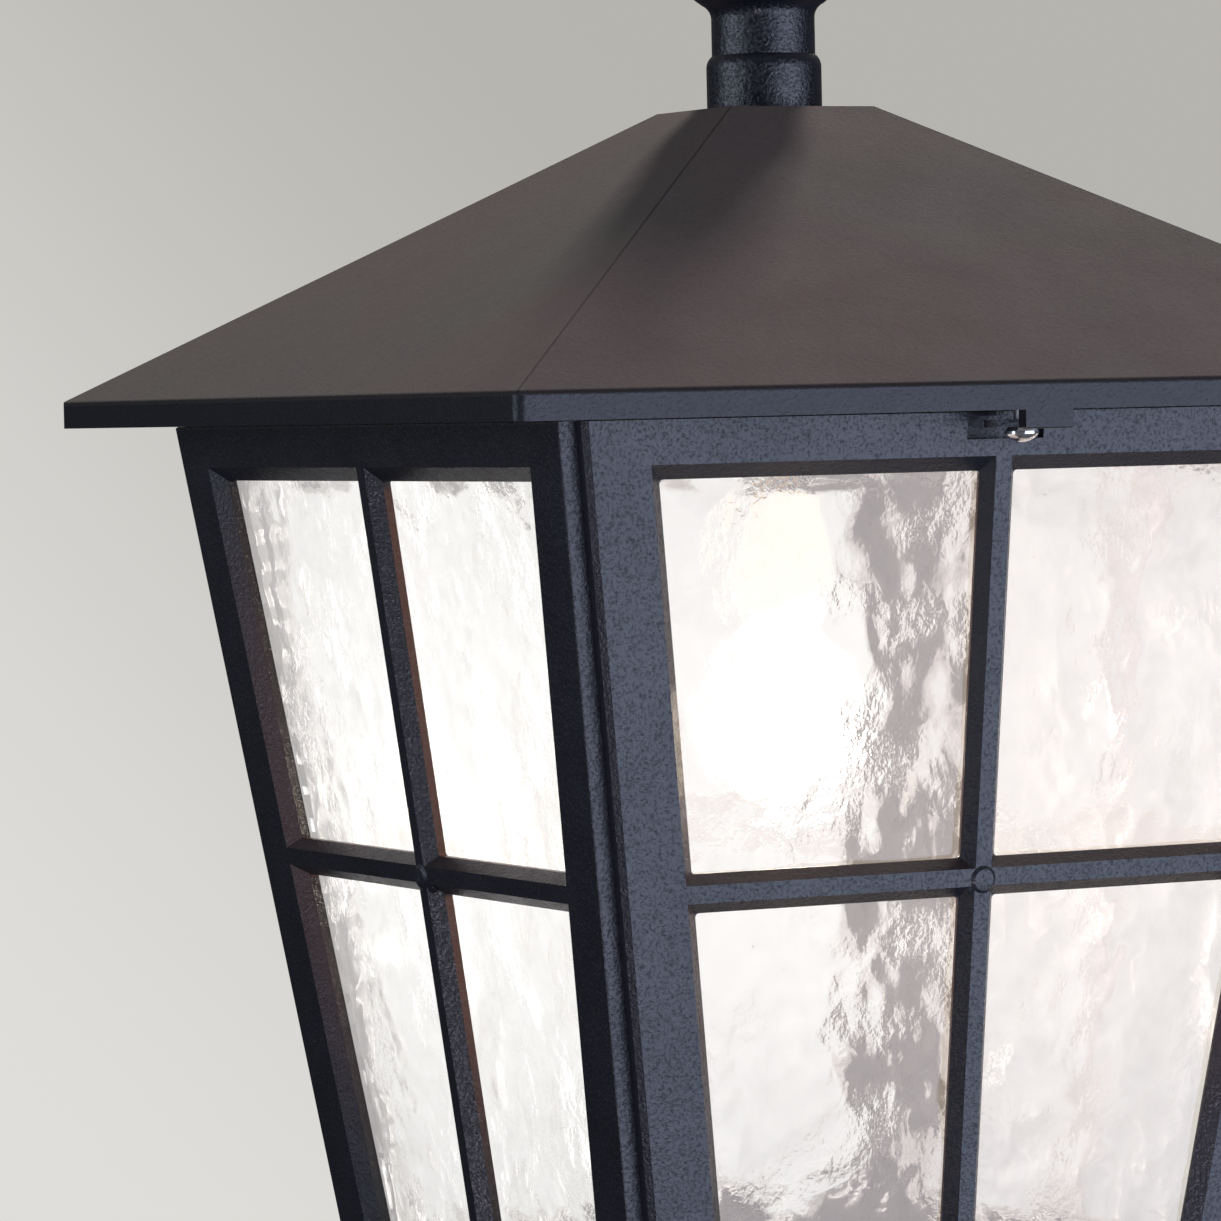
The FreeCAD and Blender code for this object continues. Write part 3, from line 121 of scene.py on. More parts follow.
# Each light: the setting with its power, degrees round from the camera's side, distance and
# rise from the lantern, width and height, colour.
LIGHTS = (
    ("right_softbox", "right_box", 53, 2.6, -0.40, (3.2, 2.6), (0.68, 0.76, 1.0)),
    ("left_box", "left_box", -70, 2.4, 0.60, (2.2, 1.5), (0.72, 0.82, 1.0)),
    ("low_fill", "low_fill", -12, 2.2, -0.80, (0.95, 0.40), (0.86, 0.82, 1.0)),
    ("overhead_light", "overhead", 163, 2.1, 2.5, (0.45, 0.45), (1.0, 0.97, 0.93)),
)


# ---- sizes and colours that a user would change --------------------------------------
class PaintSettings(bpy.types.PropertyGroup):
    """Colours and grain of the painted castings."""
    lantern: FloatVectorProperty(
        name="Lantern paint", description="Satin black paint on the lantern's frames",
        default=(0.0055, 0.0065, 0.0105), size=3, min=0.0, max=1.0, subtype="COLOR")
    roof: FloatVectorProperty(
        name="Roof paint", description="Matte brown-black paint on the roof",
        default=(0.109, 0.071, 0.065), size=3, min=0.0, max=1.0, subtype="COLOR")
    roof_bloom: FloatVectorProperty(
        name="Roof bloom", description="Weathered patches in the roof paint",
        default=(0.096, 0.082, 0.070), size=3, min=0.0, max=1.0, subtype="COLOR")
    post: FloatVectorProperty(
        name="Post paint", description="Satin black paint on the iron post",
        default=(0.013, 0.015, 0.019), size=3, min=0.0, max=1.0, subtype="COLOR")
    road_dirt: FloatVectorProperty(
        name="Road dirt", description="Splashed dust on the foot of the post",
        default=(0.135, 0.115, 0.090), size=3, min=0.0, max=1.0, subtype="COLOR")
    finial: FloatVectorProperty(
        name="Finial paint", description="Glossy black paint on the finial",
        default=(0.004, 0.005, 0.009), size=3, min=0.0, max=1.0, subtype="COLOR")
    peel: FloatProperty(
        name="Orange peel", description="Width of one ripple in the sprayed paint",
        default=0.0016, min=0.0005, max=0.01, unit="LENGTH")
    speck: FloatProperty(
        name="Paint speck", description="Spacing of the dark specks in the paint",
        default=0.0014, min=0.0005, max=0.01, unit="LENGTH")
    fascia_height: FloatProperty(
        name="Fascia height", description="Height of the upright edge of the roof",
        default=0.0108, min=0.0, max=0.05, unit="LENGTH")


class GlassSettings(bpy.types.PropertyGroup):
    """Rippled water glass."""
    thickness: FloatProperty(
        name="Pane thickness", description="Thickness of the glass at its edges",
        default=0.004, min=0.002, max=0.01, unit="LENGTH")
    wave: FloatProperty(
        name="Wave length", description="Distance between two large waves of the glass",
        default=0.036, min=0.005, max=0.1, unit="LENGTH")
    wave_height: FloatProperty(
        name="Wave height", description="Height of the large waves",
        default=0.0014, min=0.0, max=0.003, unit="LENGTH")
    dimple: FloatProperty(
        name="Dimple size", description="Width of one hammered dimple",
        default=0.017, min=0.003, max=0.05, unit="LENGTH")
    dimple_depth: FloatProperty(
        name="Dimple depth", description="Depth of the hammered dimples",
        default=0.0004, min=0.0, max=0.002, unit="LENGTH")
    edge_margin: FloatProperty(
        name="Flat edge", description="Width of the flat strip that the seal grips",
        default=0.007, min=0.001, max=0.03, unit="LENGTH")
    mesh_step: FloatProperty(
        name="Mesh step", description="Distance between two points of the pane's mesh",
        default=0.0026, min=0.001, max=0.02, unit="LENGTH")
    # Colour of the painted glow on the panes, standing in for the lamp light that the rippled face
    # scatters.
    glow: FloatVectorProperty(
        name="Scattered light", description="Lamp light that the rippled face scatters",
        default=(0.154, 0.138, 0.126), size=3, min=0.0, max=1.0, subtype="COLOR")


class LampSettings(bpy.types.PropertyGroup):
    """The lit lamp."""
    light: FloatVectorProperty(
        name="Lamp light", description="Colour of the lit lamp",
        default=(1.0, 0.86, 0.66), size=3, min=0.0, max=1.0, subtype="COLOR")
    strength: FloatProperty(
        name="Lamp strength", description="Brightness of the lamp's frosted glass",
        default=32.0, min=0.0, max=200.0)
    # Painted glow on the glazed holder, standing in for the lamp light that falls on it.
    holder_painted_glow: FloatVectorProperty(
        name="Holder glow", description="Lamp light held in the glazed holder above the lamp",
        default=(0.42, 0.39, 0.34), size=3, min=0.0, max=1.0, subtype="COLOR")


class StageSettings(bpy.types.PropertyGroup):
    """Camera, floor, backdrop and lights."""
    yaw: FloatProperty(
        name="Camera yaw", description="How far the camera stands round to the left",
        default=math.radians(26.586), subtype="ANGLE")
    pitch: FloatProperty(
        name="Camera pitch", description="How far the camera looks down",
        default=math.radians(1.966), subtype="ANGLE")
    roll: FloatProperty(
        name="Camera roll", description="Tilt of the camera about its view",
        default=math.radians(-1.266), subtype="ANGLE")
    lens: FloatProperty(
        name="Lens", description="Focal length on a 36 mm wide sensor",
        default=179.93, min=20.0, max=400.0, unit="CAMERA")
    distance: FloatProperty(
        name="Camera distance", description="From the camera to the point it looks at",
        default=2.5208, min=0.5, unit="LENGTH")
    aim_below_roof: FloatProperty(
        name="Aim below roof", description="How far below the roof's top the camera looks",
        default=0.20474, unit="LENGTH")
    aim_left: FloatProperty(
        name="Aim left", description="How far left of the post's axis the camera looks",
        default=0.06806, unit="LENGTH")
    floor_radius: FloatProperty(
        name="Floor radius", description="Where the pale floor has faded out",
        default=9.0, min=1.0, unit="LENGTH")
    floor: FloatVectorProperty(
        name="Floor", description="Colour of the pale floor",
        default=(0.56, 0.55, 0.53), size=3, min=0.0, max=1.0, subtype="COLOR")
    floor_bounce: FloatVectorProperty(
        name="Floor bounce", description="Colour that the floor throws back on the post",
        default=(0.10, 0.095, 0.09), size=3, min=0.0, max=1.0, subtype="COLOR")
    backdrop_light: FloatVectorProperty(
        name="Backdrop, light side", description="Lighter end of the plain backdrop",
        default=(0.735, 0.726, 0.700), size=3, min=0.0, max=1.0, subtype="COLOR")
    backdrop_dark: FloatVectorProperty(
        name="Backdrop, dark side", description="Darker end of the plain backdrop",
        default=(0.468, 0.456, 0.429), size=3, min=0.0, max=1.0, subtype="COLOR")
    overhead: FloatProperty(
        name="Overhead light", description="Power of the light above and behind",
        default=84.0, min=0.0, unit="POWER")
    right_box: FloatProperty(
        name="Right softbox", description="Power of the tall cool softbox",
        default=97.0, min=0.0, unit="POWER")
    left_box: FloatProperty(
        name="Left softbox", description="Power of the cool softbox on the left",
        default=28.0, min=0.0, unit="POWER")
    low_fill: FloatProperty(
        name="Low fill", description="Power of the small light below the camera",
        default=15.0, min=0.0, unit="POWER")


# ---- shader helpers ------------------------------------------------------------------
def add(tree, kind, inputs=None, **settings):
    """Adds a shader node. An input is a number, a colour or another node's output."""
    made = tree.nodes.new("ShaderNode" + kind)
    for key, value in settings.items():
        setattr(made, key, value)
    for key, value in (inputs or {}).items():
        if isinstance(value, bpy.types.NodeSocket):
            tree.links.new(value, made.inputs[key])
        else:
            made.inputs[key].default_value = value
    return made


def maths(tree, operation, first, second=0.0):
    """One step of arithmetic."""
    return add(tree, "Math", {0: first, 1: second}, operation=operation).outputs[0]


def spread(tree, value, low, high, out_low=0.0, out_high=1.0):
    """Maps a range of a value to another range, and holds it there."""
    made = add(tree, "MapRange", {0: value, 1: low, 2: high, 3: out_low, 4: out_high})
    return made.outputs[0]


def blend_colours(tree, factor, first, second):
    """Mixes two colours."""
    made = add(tree, "Mix", {0: factor, 6: opaque(first), 7: opaque(second)}, data_type="RGBA")
    return made.outputs[2]


def opaque(colour):
    """A colour with alpha, or the socket itself."""
    return colour if isinstance(colour, bpy.types.NodeSocket) else (*colour, 1.0)


def cloud(tree, place, size, detail=3.0, roughness=0.5):
    """Soft noise whose patches are about size metres wide."""
    made = add(tree, "TexNoise", {"Vector": place, "Scale": 1.0 / size, "Detail": detail,
                                  "Roughness": roughness})
    return made.outputs[0]


def new_group(name, inputs, outputs):
    """An empty shader node group with float inputs. Returns the group and its two ends."""
    group = bpy.data.node_groups.new(name, "ShaderNodeTree")
    for socket, default in inputs.items():
        made = group.interface.new_socket(name=socket, in_out="INPUT", socket_type="NodeSocketFloat")
        made.default_value = default
    for socket in outputs:
        group.interface.new_socket(name=socket, in_out="OUTPUT", socket_type="NodeSocketFloat")
    return group, group.nodes.new("NodeGroupInput"), group.nodes.new("NodeGroupOutput")


def sprayed_paint_group():
    """Orange peel, dark specks and slow clouds of a sprayed coat over a casting."""
    name = "Sprayed paint"
    if name in bpy.data.node_groups:
        return bpy.data.node_groups[name]
    group, source, sink = new_group(name, {"Peel Scale": 450.0, "Speck Scale": 320.0},
                                    ("Height", "Specks", "Clouds"))
    place = add(group, "TexCoord").outputs["Object"]
    peel = add(group, "TexNoise", {"Vector": place, "Scale": source.outputs["Peel Scale"],
                                   "Detail": 2.0, "Roughness": 0.6}).outputs[0]
    lumps = cloud(group, place, CASTING_LUMP, 2.0)
    speckle = add(group, "TexNoise", {"Vector": place, "Scale": source.outputs["Speck Scale"],
                                      "Detail": 3.0, "Roughness": 0.7}).outputs[0]
    specks = spread(group, speckle, 0.50, 0.72)
    clouds = cloud(group, place, PAINT_CLOUD, 4.0, 0.6)
    tall = maths(group, "MULTIPLY_ADD", lumps, 0.8)
    group.links.new(peel, tall.node.inputs[2])
    height = maths(group, "SUBTRACT", tall, maths(group, "MULTIPLY", specks, 0.25))
    group.links.new(height, sink.inputs["Height"])
    group.links.new(specks, sink.inputs["Specks"])
    group.links.new(clouds, sink.inputs["Clouds"])
    return group


def weather_group():
    """Rain streaks, dust on upward faces and splashed dirt near the ground."""
    name = "Weather"
    if name in bpy.data.node_groups:
        return bpy.data.node_groups[name]
    group, source, sink = new_group(name, {"Splash Height": 0.2}, ("Streaks", "Dust", "Splash"))
    coordinates = add(group, "TexCoord")
    place = coordinates.outputs["Object"]
    stretched = add(group, "Mapping", {"Vector": place, "Scale": (1.0, 1.0, 0.06)}).outputs[0]
    streaks = spread(group, cloud(group, stretched, RAIN_STREAK, 4.0, 0.6), 0.50, 0.75)
    facing = add(group, "SeparateXYZ", {0: coordinates.outputs["Normal"]}).outputs["Z"]
    settled = spread(group, facing, 0.35, 0.95)
    patches = spread(group, cloud(group, place, DUST_PATCH, 5.0, 0.65), 0.38, 0.66)
    dust = maths(group, "MULTIPLY", settled, patches)
    height = add(group, "SeparateXYZ", {0: place}).outputs["Z"]
    reach = maths(group, "DIVIDE", height, source.outputs["Splash Height"])
    low = spread(group, reach, 0.0, 1.0, 1.0, 0.0)
    drops = spread(group, cloud(group, place, SPLASH_DROP, 4.0, 0.7), 0.35, 0.75)
    splash = maths(group, "MULTIPLY", maths(group, "POWER", low, 1.6), drops)
    group.links.new(streaks, sink.inputs["Streaks"])
    group.links.new(dust, sink.inputs["Dust"])
    group.links.new(splash, sink.inputs["Splash"])
    return group


def turned_metal_group():
    """Fine lathe and rolling marks, with slow tarnish clouds."""
    name = "Turned metal"
    if name in bpy.data.node_groups:
        return bpy.data.node_groups[name]
    group, source, sink = new_group(name, {"Mark Scale": 900.0}, ("Marks", "Tarnish"))
    place = add(group, "TexCoord").outputs["Object"]
    fine = add(group, "Mapping", {"Vector": place, "Scale": (0.12, 0.12, 1.0)}).outputs[0]
    marks = add(group, "TexNoise", {"Vector": fine, "Scale": source.outputs["Mark Scale"],
                                    "Detail": 3.0}).outputs[0]
    tarnish = cloud(group, place, TARNISH_PATCH, 4.0, 0.6)
    group.links.new(marks, sink.inputs["Marks"])
    group.links.new(tarnish, sink.inputs["Tarnish"])
    return group


def use_group(tree, group, inputs=None):
    """Places a node group in a material."""
    made = add(tree, "Group", node_tree=group)
    for key, value in (inputs or {}).items():
        made.inputs[key].default_value = value
    return made


def new_material(name, **values):
    """A Principled material with plain values set on the shader's own sockets."""
    material = bpy.data.materials.new(name)
    material.use_nodes = True
    tree = material.node_tree
    shader = tree.nodes["Principled BSDF"]
    for socket, value in values.items():
        shader.inputs[socket.replace("_", " ")].default_value = value
    return material, tree, shader


def bump(tree, shader, height, strength, distance):
    """Feeds a height to the shader's normal."""
    made = add(tree, "Bump", {"Strength": strength, "Distance": distance, "Height": height})
    tree.links.new(made.outputs[0], shader.inputs["Normal"])
    return made


def dress(names, material):
    """Gives CAD nodes a material."""
    for name in names:
        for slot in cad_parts[name].material_slots:
            slot.material = material


# ---- materials -----------------------------------------------------------------------
def painted_lamp_spill(tree, lamp_centre):
    """Painted warm glow (emission) on the reveals turned to the lamp, standing in for lamp light that
    leaves the panes sideways.
    """
    coordinates = add(tree, "TexCoord")
    place = coordinates.outputs["Object"]
    towards = add(tree, "VectorMath", {0: lamp_centre, 1: place}, operation="SUBTRACT").outputs["Vector"]
    straight = add(tree, "VectorMath", {0: towards}, operation="NORMALIZE").outputs["Vector"]
    facing = add(tree, "VectorMath", {0: straight, 1: coordinates.outputs["Normal"]},
                 operation="DOT_PRODUCT").outputs["Value"]
    away = add(tree, "VectorMath", {0: towards}, operation="LENGTH").outputs["Value"]
    grazed = maths(tree, "MULTIPLY", spread(tree, facing, -0.45, -0.05),
                   spread(tree, facing, 0.55, 0.75, 1.0, 0.0))
    close = spread(tree, away, *SPILL_FADE, 1.0, 0.03)
    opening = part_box("pane_front")[1].z
    level = add(tree, "SeparateXYZ", {0: place}).outputs["Z"]
    inside = spread(tree, level, *(opening - edge for edge in REVEAL_START), 1.0, 0.0)
    amount = maths(tree, "MULTIPLY", maths(tree, "MULTIPLY", grazed, close), inside)
    # Colour of the painted glow, from a dim to a brighter warm tone, fading away from the lamp and
    # stopping above the panes.
    painted_warm_glow = blend_colours(tree, amount, (0.006, 0.0015, 0.001), (0.055, 0.016, 0.006))
    return add(tree, "VectorMath", {0: painted_warm_glow, 3: amount}, operation="SCALE").outputs["Vector"]


def painted(name, paint, settings, roughness, speck_depth, peel_depth, weathered, lamp_centre=None):
    """Sprayed satin paint with peel, specks, rain streaks and dust; with a lamp centre it also gets a
    painted warm glow on the reveals.
    """
    material, tree, shader = new_material(name)
    coat = use_group(tree, sprayed_paint_group(), {
        "Peel Scale": 1.0 / settings.peel, "Speck Scale": 1.0 / settings.speck})
    air = use_group(tree, weather_group())
    dark = tuple(0.35 * c for c in paint)
    light = tuple(1.35 * c + 0.001 for c in paint)
    base = blend_colours(tree, coat.outputs["Clouds"], paint, light)
    speckled = blend_colours(tree, maths(tree, "MULTIPLY", coat.outputs["Specks"], speck_depth),
                             base, dark)
    dusty = maths(tree, "MULTIPLY", air.outputs["Dust"], weathered)
    streaky = maths(tree, "MULTIPLY", air.outputs["Streaks"], 0.35 * weathered)
    veil = maths(tree, "MAXIMUM", dusty, streaky)
    colour = blend_colours(tree, veil, speckled, settings.road_dirt)
    tree.links.new(colour, shader.inputs["Base Color"])
    uneven = spread(tree, coat.outputs["Clouds"], 0.3, 0.7, roughness - 0.05, roughness + 0.06)
    rough = maths(tree, "MULTIPLY_ADD", coat.outputs["Specks"], 0.32)
    tree.links.new(uneven, rough.node.inputs[2])
    tree.links.new(rough, shader.inputs["Roughness"])
    # Painted warm glow standing in for lamp light on the reveals.
    if lamp_centre:
        tree.links.new(painted_lamp_spill(tree, lamp_centre), shader.inputs["Emission Color"])
        shader.inputs["Emission Strength"].default_value = 1.0
    bump(tree, shader, coat.outputs["Height"], 1.0, peel_depth)
    return material


def roof_material(settings):
    """Matte mottled paint on the slopes, satin frame paint on the upright edge of the roof."""
    material, tree, shader = new_material("Roof paint")
    coat = use_group(tree, sprayed_paint_group(), {
        "Peel Scale": 1.0 / settings.peel, "Speck Scale": 1.0 / settings.speck})
    air = use_group(tree, weather_group())
    place = add(tree, "TexCoord").outputs["Object"]
    parts = add(tree, "SeparateXYZ", {0: place})
    bloom = spread(tree, cloud(tree, place, ROOF_BLOOM, 2.0, 0.5), 0.35, 0.65)
    base = blend_colours(tree, bloom, settings.roof, settings.roof_bloom)
    mottle = spread(tree, cloud(tree, place, ROOF_MOTTLE, 4.0, 0.75), 0.3, 0.7, 0.0, 0.42)
    mottled = blend_colours(tree, mottle, base, tuple(0.55 * c for c in settings.roof))
    speckled = blend_colours(tree, maths(tree, "MULTIPLY", coat.outputs["Specks"], 0.30), mottled,
                             tuple(0.4 * c for c in settings.roof))
    dusty = blend_colours(tree, maths(tree, "MULTIPLY", air.outputs["Streaks"], 0.04), speckled,
                          settings.road_dirt)
    hip = maths(tree, "ABSOLUTE", maths(tree, "SUBTRACT", maths(tree, "ABSOLUTE", parts.outputs["X"]),
                                        maths(tree, "ABSOLUTE", parts.outputs["Y"])))
    # Darker line along the hips.
    hip_dark_line = spread(tree, hip, *HIP_LINE, 0.75, 0.0)
    slope = blend_colours(tree, hip_dark_line, dusty, tuple(0.12 * c for c in settings.roof))
    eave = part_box("roof_liner")[0].z + settings.fascia_height
    level = parts.outputs["Z"]
    fascia = spread(tree, level, *(eave + edge for edge in FASCIA_BLEND), 1.0, 0.0)
    arris = maths(tree, "MULTIPLY", spread(tree, level, *(eave + edge for edge in ARRIS_START)),
                  spread(tree, level, *(eave + edge for edge in ARRIS_END), 1.0, 0.0))
    frame_paint = blend_colours(tree, coat.outputs["Specks"], settings.lantern,
                                tuple(0.4 * c for c in settings.lantern))
    coloured = blend_colours(tree, fascia, slope, frame_paint)
    edged = blend_colours(tree, maths(tree, "MULTIPLY", arris, 0.85), coloured,
                          tuple(0.25 * c for c in settings.lantern))
    tree.links.new(edged, shader.inputs["Base Color"])
    matte = spread(tree, coat.outputs["Clouds"], 0.3, 0.7, 0.90, 0.97)
    rough = add(tree, "Mix", {0: fascia, 2: matte, 3: 0.36}).outputs[0]
    tree.links.new(rough, shader.inputs["Roughness"])
    shader.inputs["Specular IOR Level"].default_value = 0.35
    bump(tree, shader, coat.outputs["Height"], 1.0, ROOF_PEEL)
    return material


def iron_material(settings):
    """Thick satin paint over rough cast iron, dirty near the ground."""
    material, tree, shader = new_material("Post iron")
    coat = use_group(tree, sprayed_paint_group(), {
        "Peel Scale": 0.6 / settings.peel, "Speck Scale": 0.6 / settings.speck})
    air = use_group(tree, weather_group(), {"Splash Height": 0.26})
    base = blend_colours(tree, coat.outputs["Clouds"], settings.post,
                         tuple(1.7 * c for c in settings.post))
    speckled = blend_colours(tree, maths(tree, "MULTIPLY", coat.outputs["Specks"], 0.5), base,
                             tuple(0.4 * c for c in settings.post))
    dusty = maths(tree, "MULTIPLY", air.outputs["Dust"], 0.45)
    streaky = maths(tree, "MULTIPLY", air.outputs["Streaks"], 0.10)
    splashed = maths(tree, "MULTIPLY", air.outputs["Splash"], 0.75)
    veil = maths(tree, "MAXIMUM", maths(tree, "MAXIMUM", dusty, streaky), splashed)
    tree.links.new(blend_colours(tree, veil, speckled, settings.road_dirt), shader.inputs["Base Color"])
    rough = spread(tree, veil, 0.0, 0.7, 0.36, 0.8)
    tree.links.new(rough, shader.inputs["Roughness"])
    bump(tree, shader, coat.outputs["Height"], 1.0, IRON_PEEL)
    return material


def metal_material(name, colour, tarnished, roughness):
    """Turned or rolled metal with fine marks and a little tarnish."""
    material, tree, shader = new_material(name, Metallic=1.0)
    marks = use_group(tree, turned_metal_group())
    dull = spread(tree, marks.outputs["Tarnish"], 0.42, 0.75)
    tree.links.new(blend_colours(tree, dull, colour, tarnished), shader.inputs["Base Color"])
    rough = spread(tree, marks.outputs["Marks"], 0.2, 0.8, roughness - 0.06, roughness + 0.12)
    tree.links.new(rough, shader.inputs["Roughness"])
    bump(tree, shader, marks.outputs["Marks"], 0.5, METAL_MARK)
    return material


def moulded_material(name, colour, roughness, grain):
    """Moulded plastic, rubber or ceramic: fine grain, slight mottling, dust on top."""
    material, tree, shader = new_material(name)
    air = use_group(tree, weather_group())
    place = add(tree, "TexCoord").outputs["Object"]
    fine = cloud(tree, place, grain, 2.0)
    slow = spread(tree, cloud(tree, place, MOULDING_CLOUD, 3.0), 0.3, 0.7)
    base = blend_colours(tree, slow, colour, tuple(min(1.0, 0.8 * c) for c in colour))
    veil = maths(tree, "MULTIPLY", air.outputs["Dust"], 0.25)
    tree.links.new(blend_colours(tree, veil, base, (0.30, 0.28, 0.25)), shader.inputs["Base Color"])
    rough = spread(tree, fine, 0.3, 0.7, roughness - 0.05, roughness + 0.08)
    tree.links.new(rough, shader.inputs["Roughness"])
    bump(tree, shader, fine, 0.6, MOULDING_GRAIN)
    return material


def board_material():
    """Brown laminated board with long fibres."""
    material, tree, shader = new_material("Laminated board", Roughness=0.55)
    place = add(tree, "TexCoord").outputs["Object"]
    fibres = add(tree, "Mapping", {"Vector": place, "Scale": (1.0, 1.0, 0.05)}).outputs[0]
    grain = cloud(tree, fibres, BOARD_FIBRE, 5.0, 0.65)
    shade = spread(tree, grain, 0.3, 0.7)
    tree.links.new(blend_colours(tree, shade, (0.19, 0.115, 0.06), (0.36, 0.24, 0.13)),
                   shader.inputs["Base Color"])
    bump(tree, shader, grain, 0.5, BOARD_GRAIN)
    return material


def glass_material(settings, lamp_centre, side):
    """Clear water glass with a painted glow (emission) standing in for the lamp's light that its rippled
    face scatters.
    """
    material, tree, shader = new_material("Rippled glass " + side, Base_Color=(0.985, 0.985, 0.98, 1.0),
                                          Roughness=0.07, IOR=1.5, Transmission_Weight=1.0)
    place = add(tree, "TexCoord").outputs["Object"]
    # Painted glow: brighter near the lamp, patchy along veins, and brighter where the pane is seen at a
    # slant.
    away = add(tree, "VectorMath", {0: place, 1: lamp_centre}, operation="DISTANCE").outputs["Value"]
    near = spread(tree, away, *GLOW_FADE, 1.25, 0.84)
    veins = spread(tree, cloud(tree, place, GLASS_VEIN, 4.0, 0.6), 0.3, 0.75, 0.88, 1.06)
    slant = add(tree, "LayerWeight", {"Blend": 0.5}).outputs["Facing"]
    deeper = spread(tree, slant, 0.1, 1.0, 1.0, 2.3)
    amount = maths(tree, "MULTIPLY", maths(tree, "MULTIPLY", near, veins), deeper)
    share = tuple(part * c for part, c in zip(PAINTED_PANE_GLOW[side], settings.glow))
    painted_glow = add(tree, "VectorMath", {0: share, 3: amount}, operation="SCALE")
    tree.links.new(painted_glow.outputs["Vector"], shader.inputs["Emission Color"])
    shader.inputs["Emission Strength"].default_value = 1.0
    crinkle = add(tree, "Mapping", {"Vector": place, "Scale": (1.0, 1.0, 0.85)}).outputs[0]
    where = spread(tree, cloud(tree, place, GLASS_CALM, 2.0), 0.46, 0.64, 0.10, 1.0)
    fine = maths(tree, "MULTIPLY", cloud(tree, crinkle, GLASS_CRINKLE, 3.0, 0.6), where)
    bump(tree, shader, fine, 1.0, GLASS_CRINKLE_DEPTH)
    return material


def lit_bulb_material(settings):
    """Frosted lamp glass, brightest round the filament and dimmer at the neck."""
    material, tree, shader = new_material("Lit bulb", Base_Color=(0.95, 0.93, 0.9, 1.0), Roughness=0.35)
    low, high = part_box("bulb_glass")
    place = add(tree, "TexCoord").outputs["Object"]
    height = add(tree, "SeparateXYZ", {0: place}).outputs["Z"]
    reach = spread(tree, height, high.z - 0.03, low.z + 0.05, 0.12, 1.0)
    frost = spread(tree, cloud(tree, place, BULB_FROST, 2.0), 0.2, 0.8, 0.92, 1.0)
    amount = maths(tree, "MULTIPLY", reach, frost)
    glow = add(tree, "VectorMath", {0: settings.light, 3: amount}, operation="SCALE")
    tree.links.new(glow.outputs["Vector"], shader.inputs["Emission Color"])
    shader.inputs["Emission Strength"].default_value = settings.strength
    return material


# ---- rippled panes -------------------------------------------------------------------
def ripple(u, v, seed, settings):
    """Height of the hammered face at a point of the pane, from about -1 to 1 wave heights."""
    spot = Vector((u, v, seed))
    warp = noise.noise(spot / (1.7 * settings.wave)) * settings.wave * 0.5
    bent = Vector((u + warp, v - warp, seed))
    waves = noise.noise(bent / settings.wave) + 0.35 * noise.noise(bent * 2.3 / settings.wave)
    near, next_near = noise.voronoi(bent / settings.dimple)[0][:2]
    dimples = 1.0 - math.exp(-3.0 * (next_near - near))
    return settings.wave_height * waves + settings.dimple_depth * (dimples - 0.5)


def pane_outline(side, settings):
    """Corner data of a leaning pane from its CAD box: levels, reach and half width."""
    low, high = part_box("pane_" + side)
    outward = OUTWARD[side]
    reach = [outward.dot(corner) for corner in (low, high)]
    top_reach = max(reach)
    bottom_reach = min(reach) + settings.thickness
    along = Vector((0, 0, 1)).cross(-outward)
    half_top = abs(along.dot(high - low)) / 2.0
    lean = (top_reach - bottom_reach) / (high.z - low.z)
    return low.z, high.z, top_reach, lean, half_top, along, outward


def rippled_pane(side, seed, settings, material):
    """One pane: a fine grid front and back, hammered outside and gently wavy inside."""
    bottom, top, top_reach, lean, half_top, along, outward = pane_outline(side, settings)
    rows = max(2, round((top - bottom) / settings.mesh_step))
    columns = max(2, round(2 * half_top / settings.mesh_step))
    points = []
    for face in (0, 1):
        for row in range(rows + 1):
            drop = (top - bottom) * row / rows
            half = half_top - lean * drop
            for column in range(columns + 1):
                u = half * (2.0 * column / columns - 1.0)
                edge = min(half - abs(u), drop, top - bottom - drop) / settings.edge_margin
                flat = min(1.0, max(0.0, edge - 1.0))
                height = ripple(u, drop, seed + 7.0 * face, settings) * (1.0 if face == 0 else -0.4)
                depth = settings.thickness * face - height * flat * flat * (3.0 - 2.0 * flat)
                spot = along * u + outward * (top_reach - lean * drop - depth)
                points.append((spot.x, spot.y, top - drop))
    per_face = (rows + 1) * (columns + 1)
    faces = []
    for face in (0, 1):
        for row in range(rows):
            for column in range(columns):
                a = face * per_face + row * (columns + 1) + column
                quad = (a, a + columns + 1, a + columns + 2, a + 1)
                faces.append(quad[::-1] if face == 0 else quad)
    rim = [(0, c) for c in range(columns)] + [(r, columns) for r in range(rows)]
    rim += [(rows, c) for c in range(columns, 0, -1)] + [(r, 0) for r in range(rows, 0, -1)]
    ring = [r * (columns + 1) + c for r, c in rim]
    for here, after in zip(ring, ring[1:] + ring[:1]):
        faces.append((here, here + per_face, after + per_face, after))
    mesh = bpy.data.meshes.new("rippled_pane_" + side)
    mesh.from_pydata(points, [], faces)
    mesh.validate()
    mesh.polygons.foreach_set("use_smooth", [True] * len(mesh.polygons))
    mesh.materials.append(material)
    pane = bpy.data.objects.new("rippled_pane_" + side, mesh)
    bpy.context.scene.collection.objects.link(pane)
    return pane


# ---- operators: one for each group of pieces -----------------------------------------
class LAMPPOST_OT_paint_post(bpy.types.Operator):
    """Paint the pedestal, its door, the column and the post-top bracket"""
    bl_idname = "lamppost.paint_post"
    bl_label = "Paint the post"

    def execute(self, context):
        material = iron_material(context.scene.lamppost_paint)
        dress(("pedestal", "pedestal_door", "column_shaft", "lantern_frog"), material)
        return {"FINISHED"}


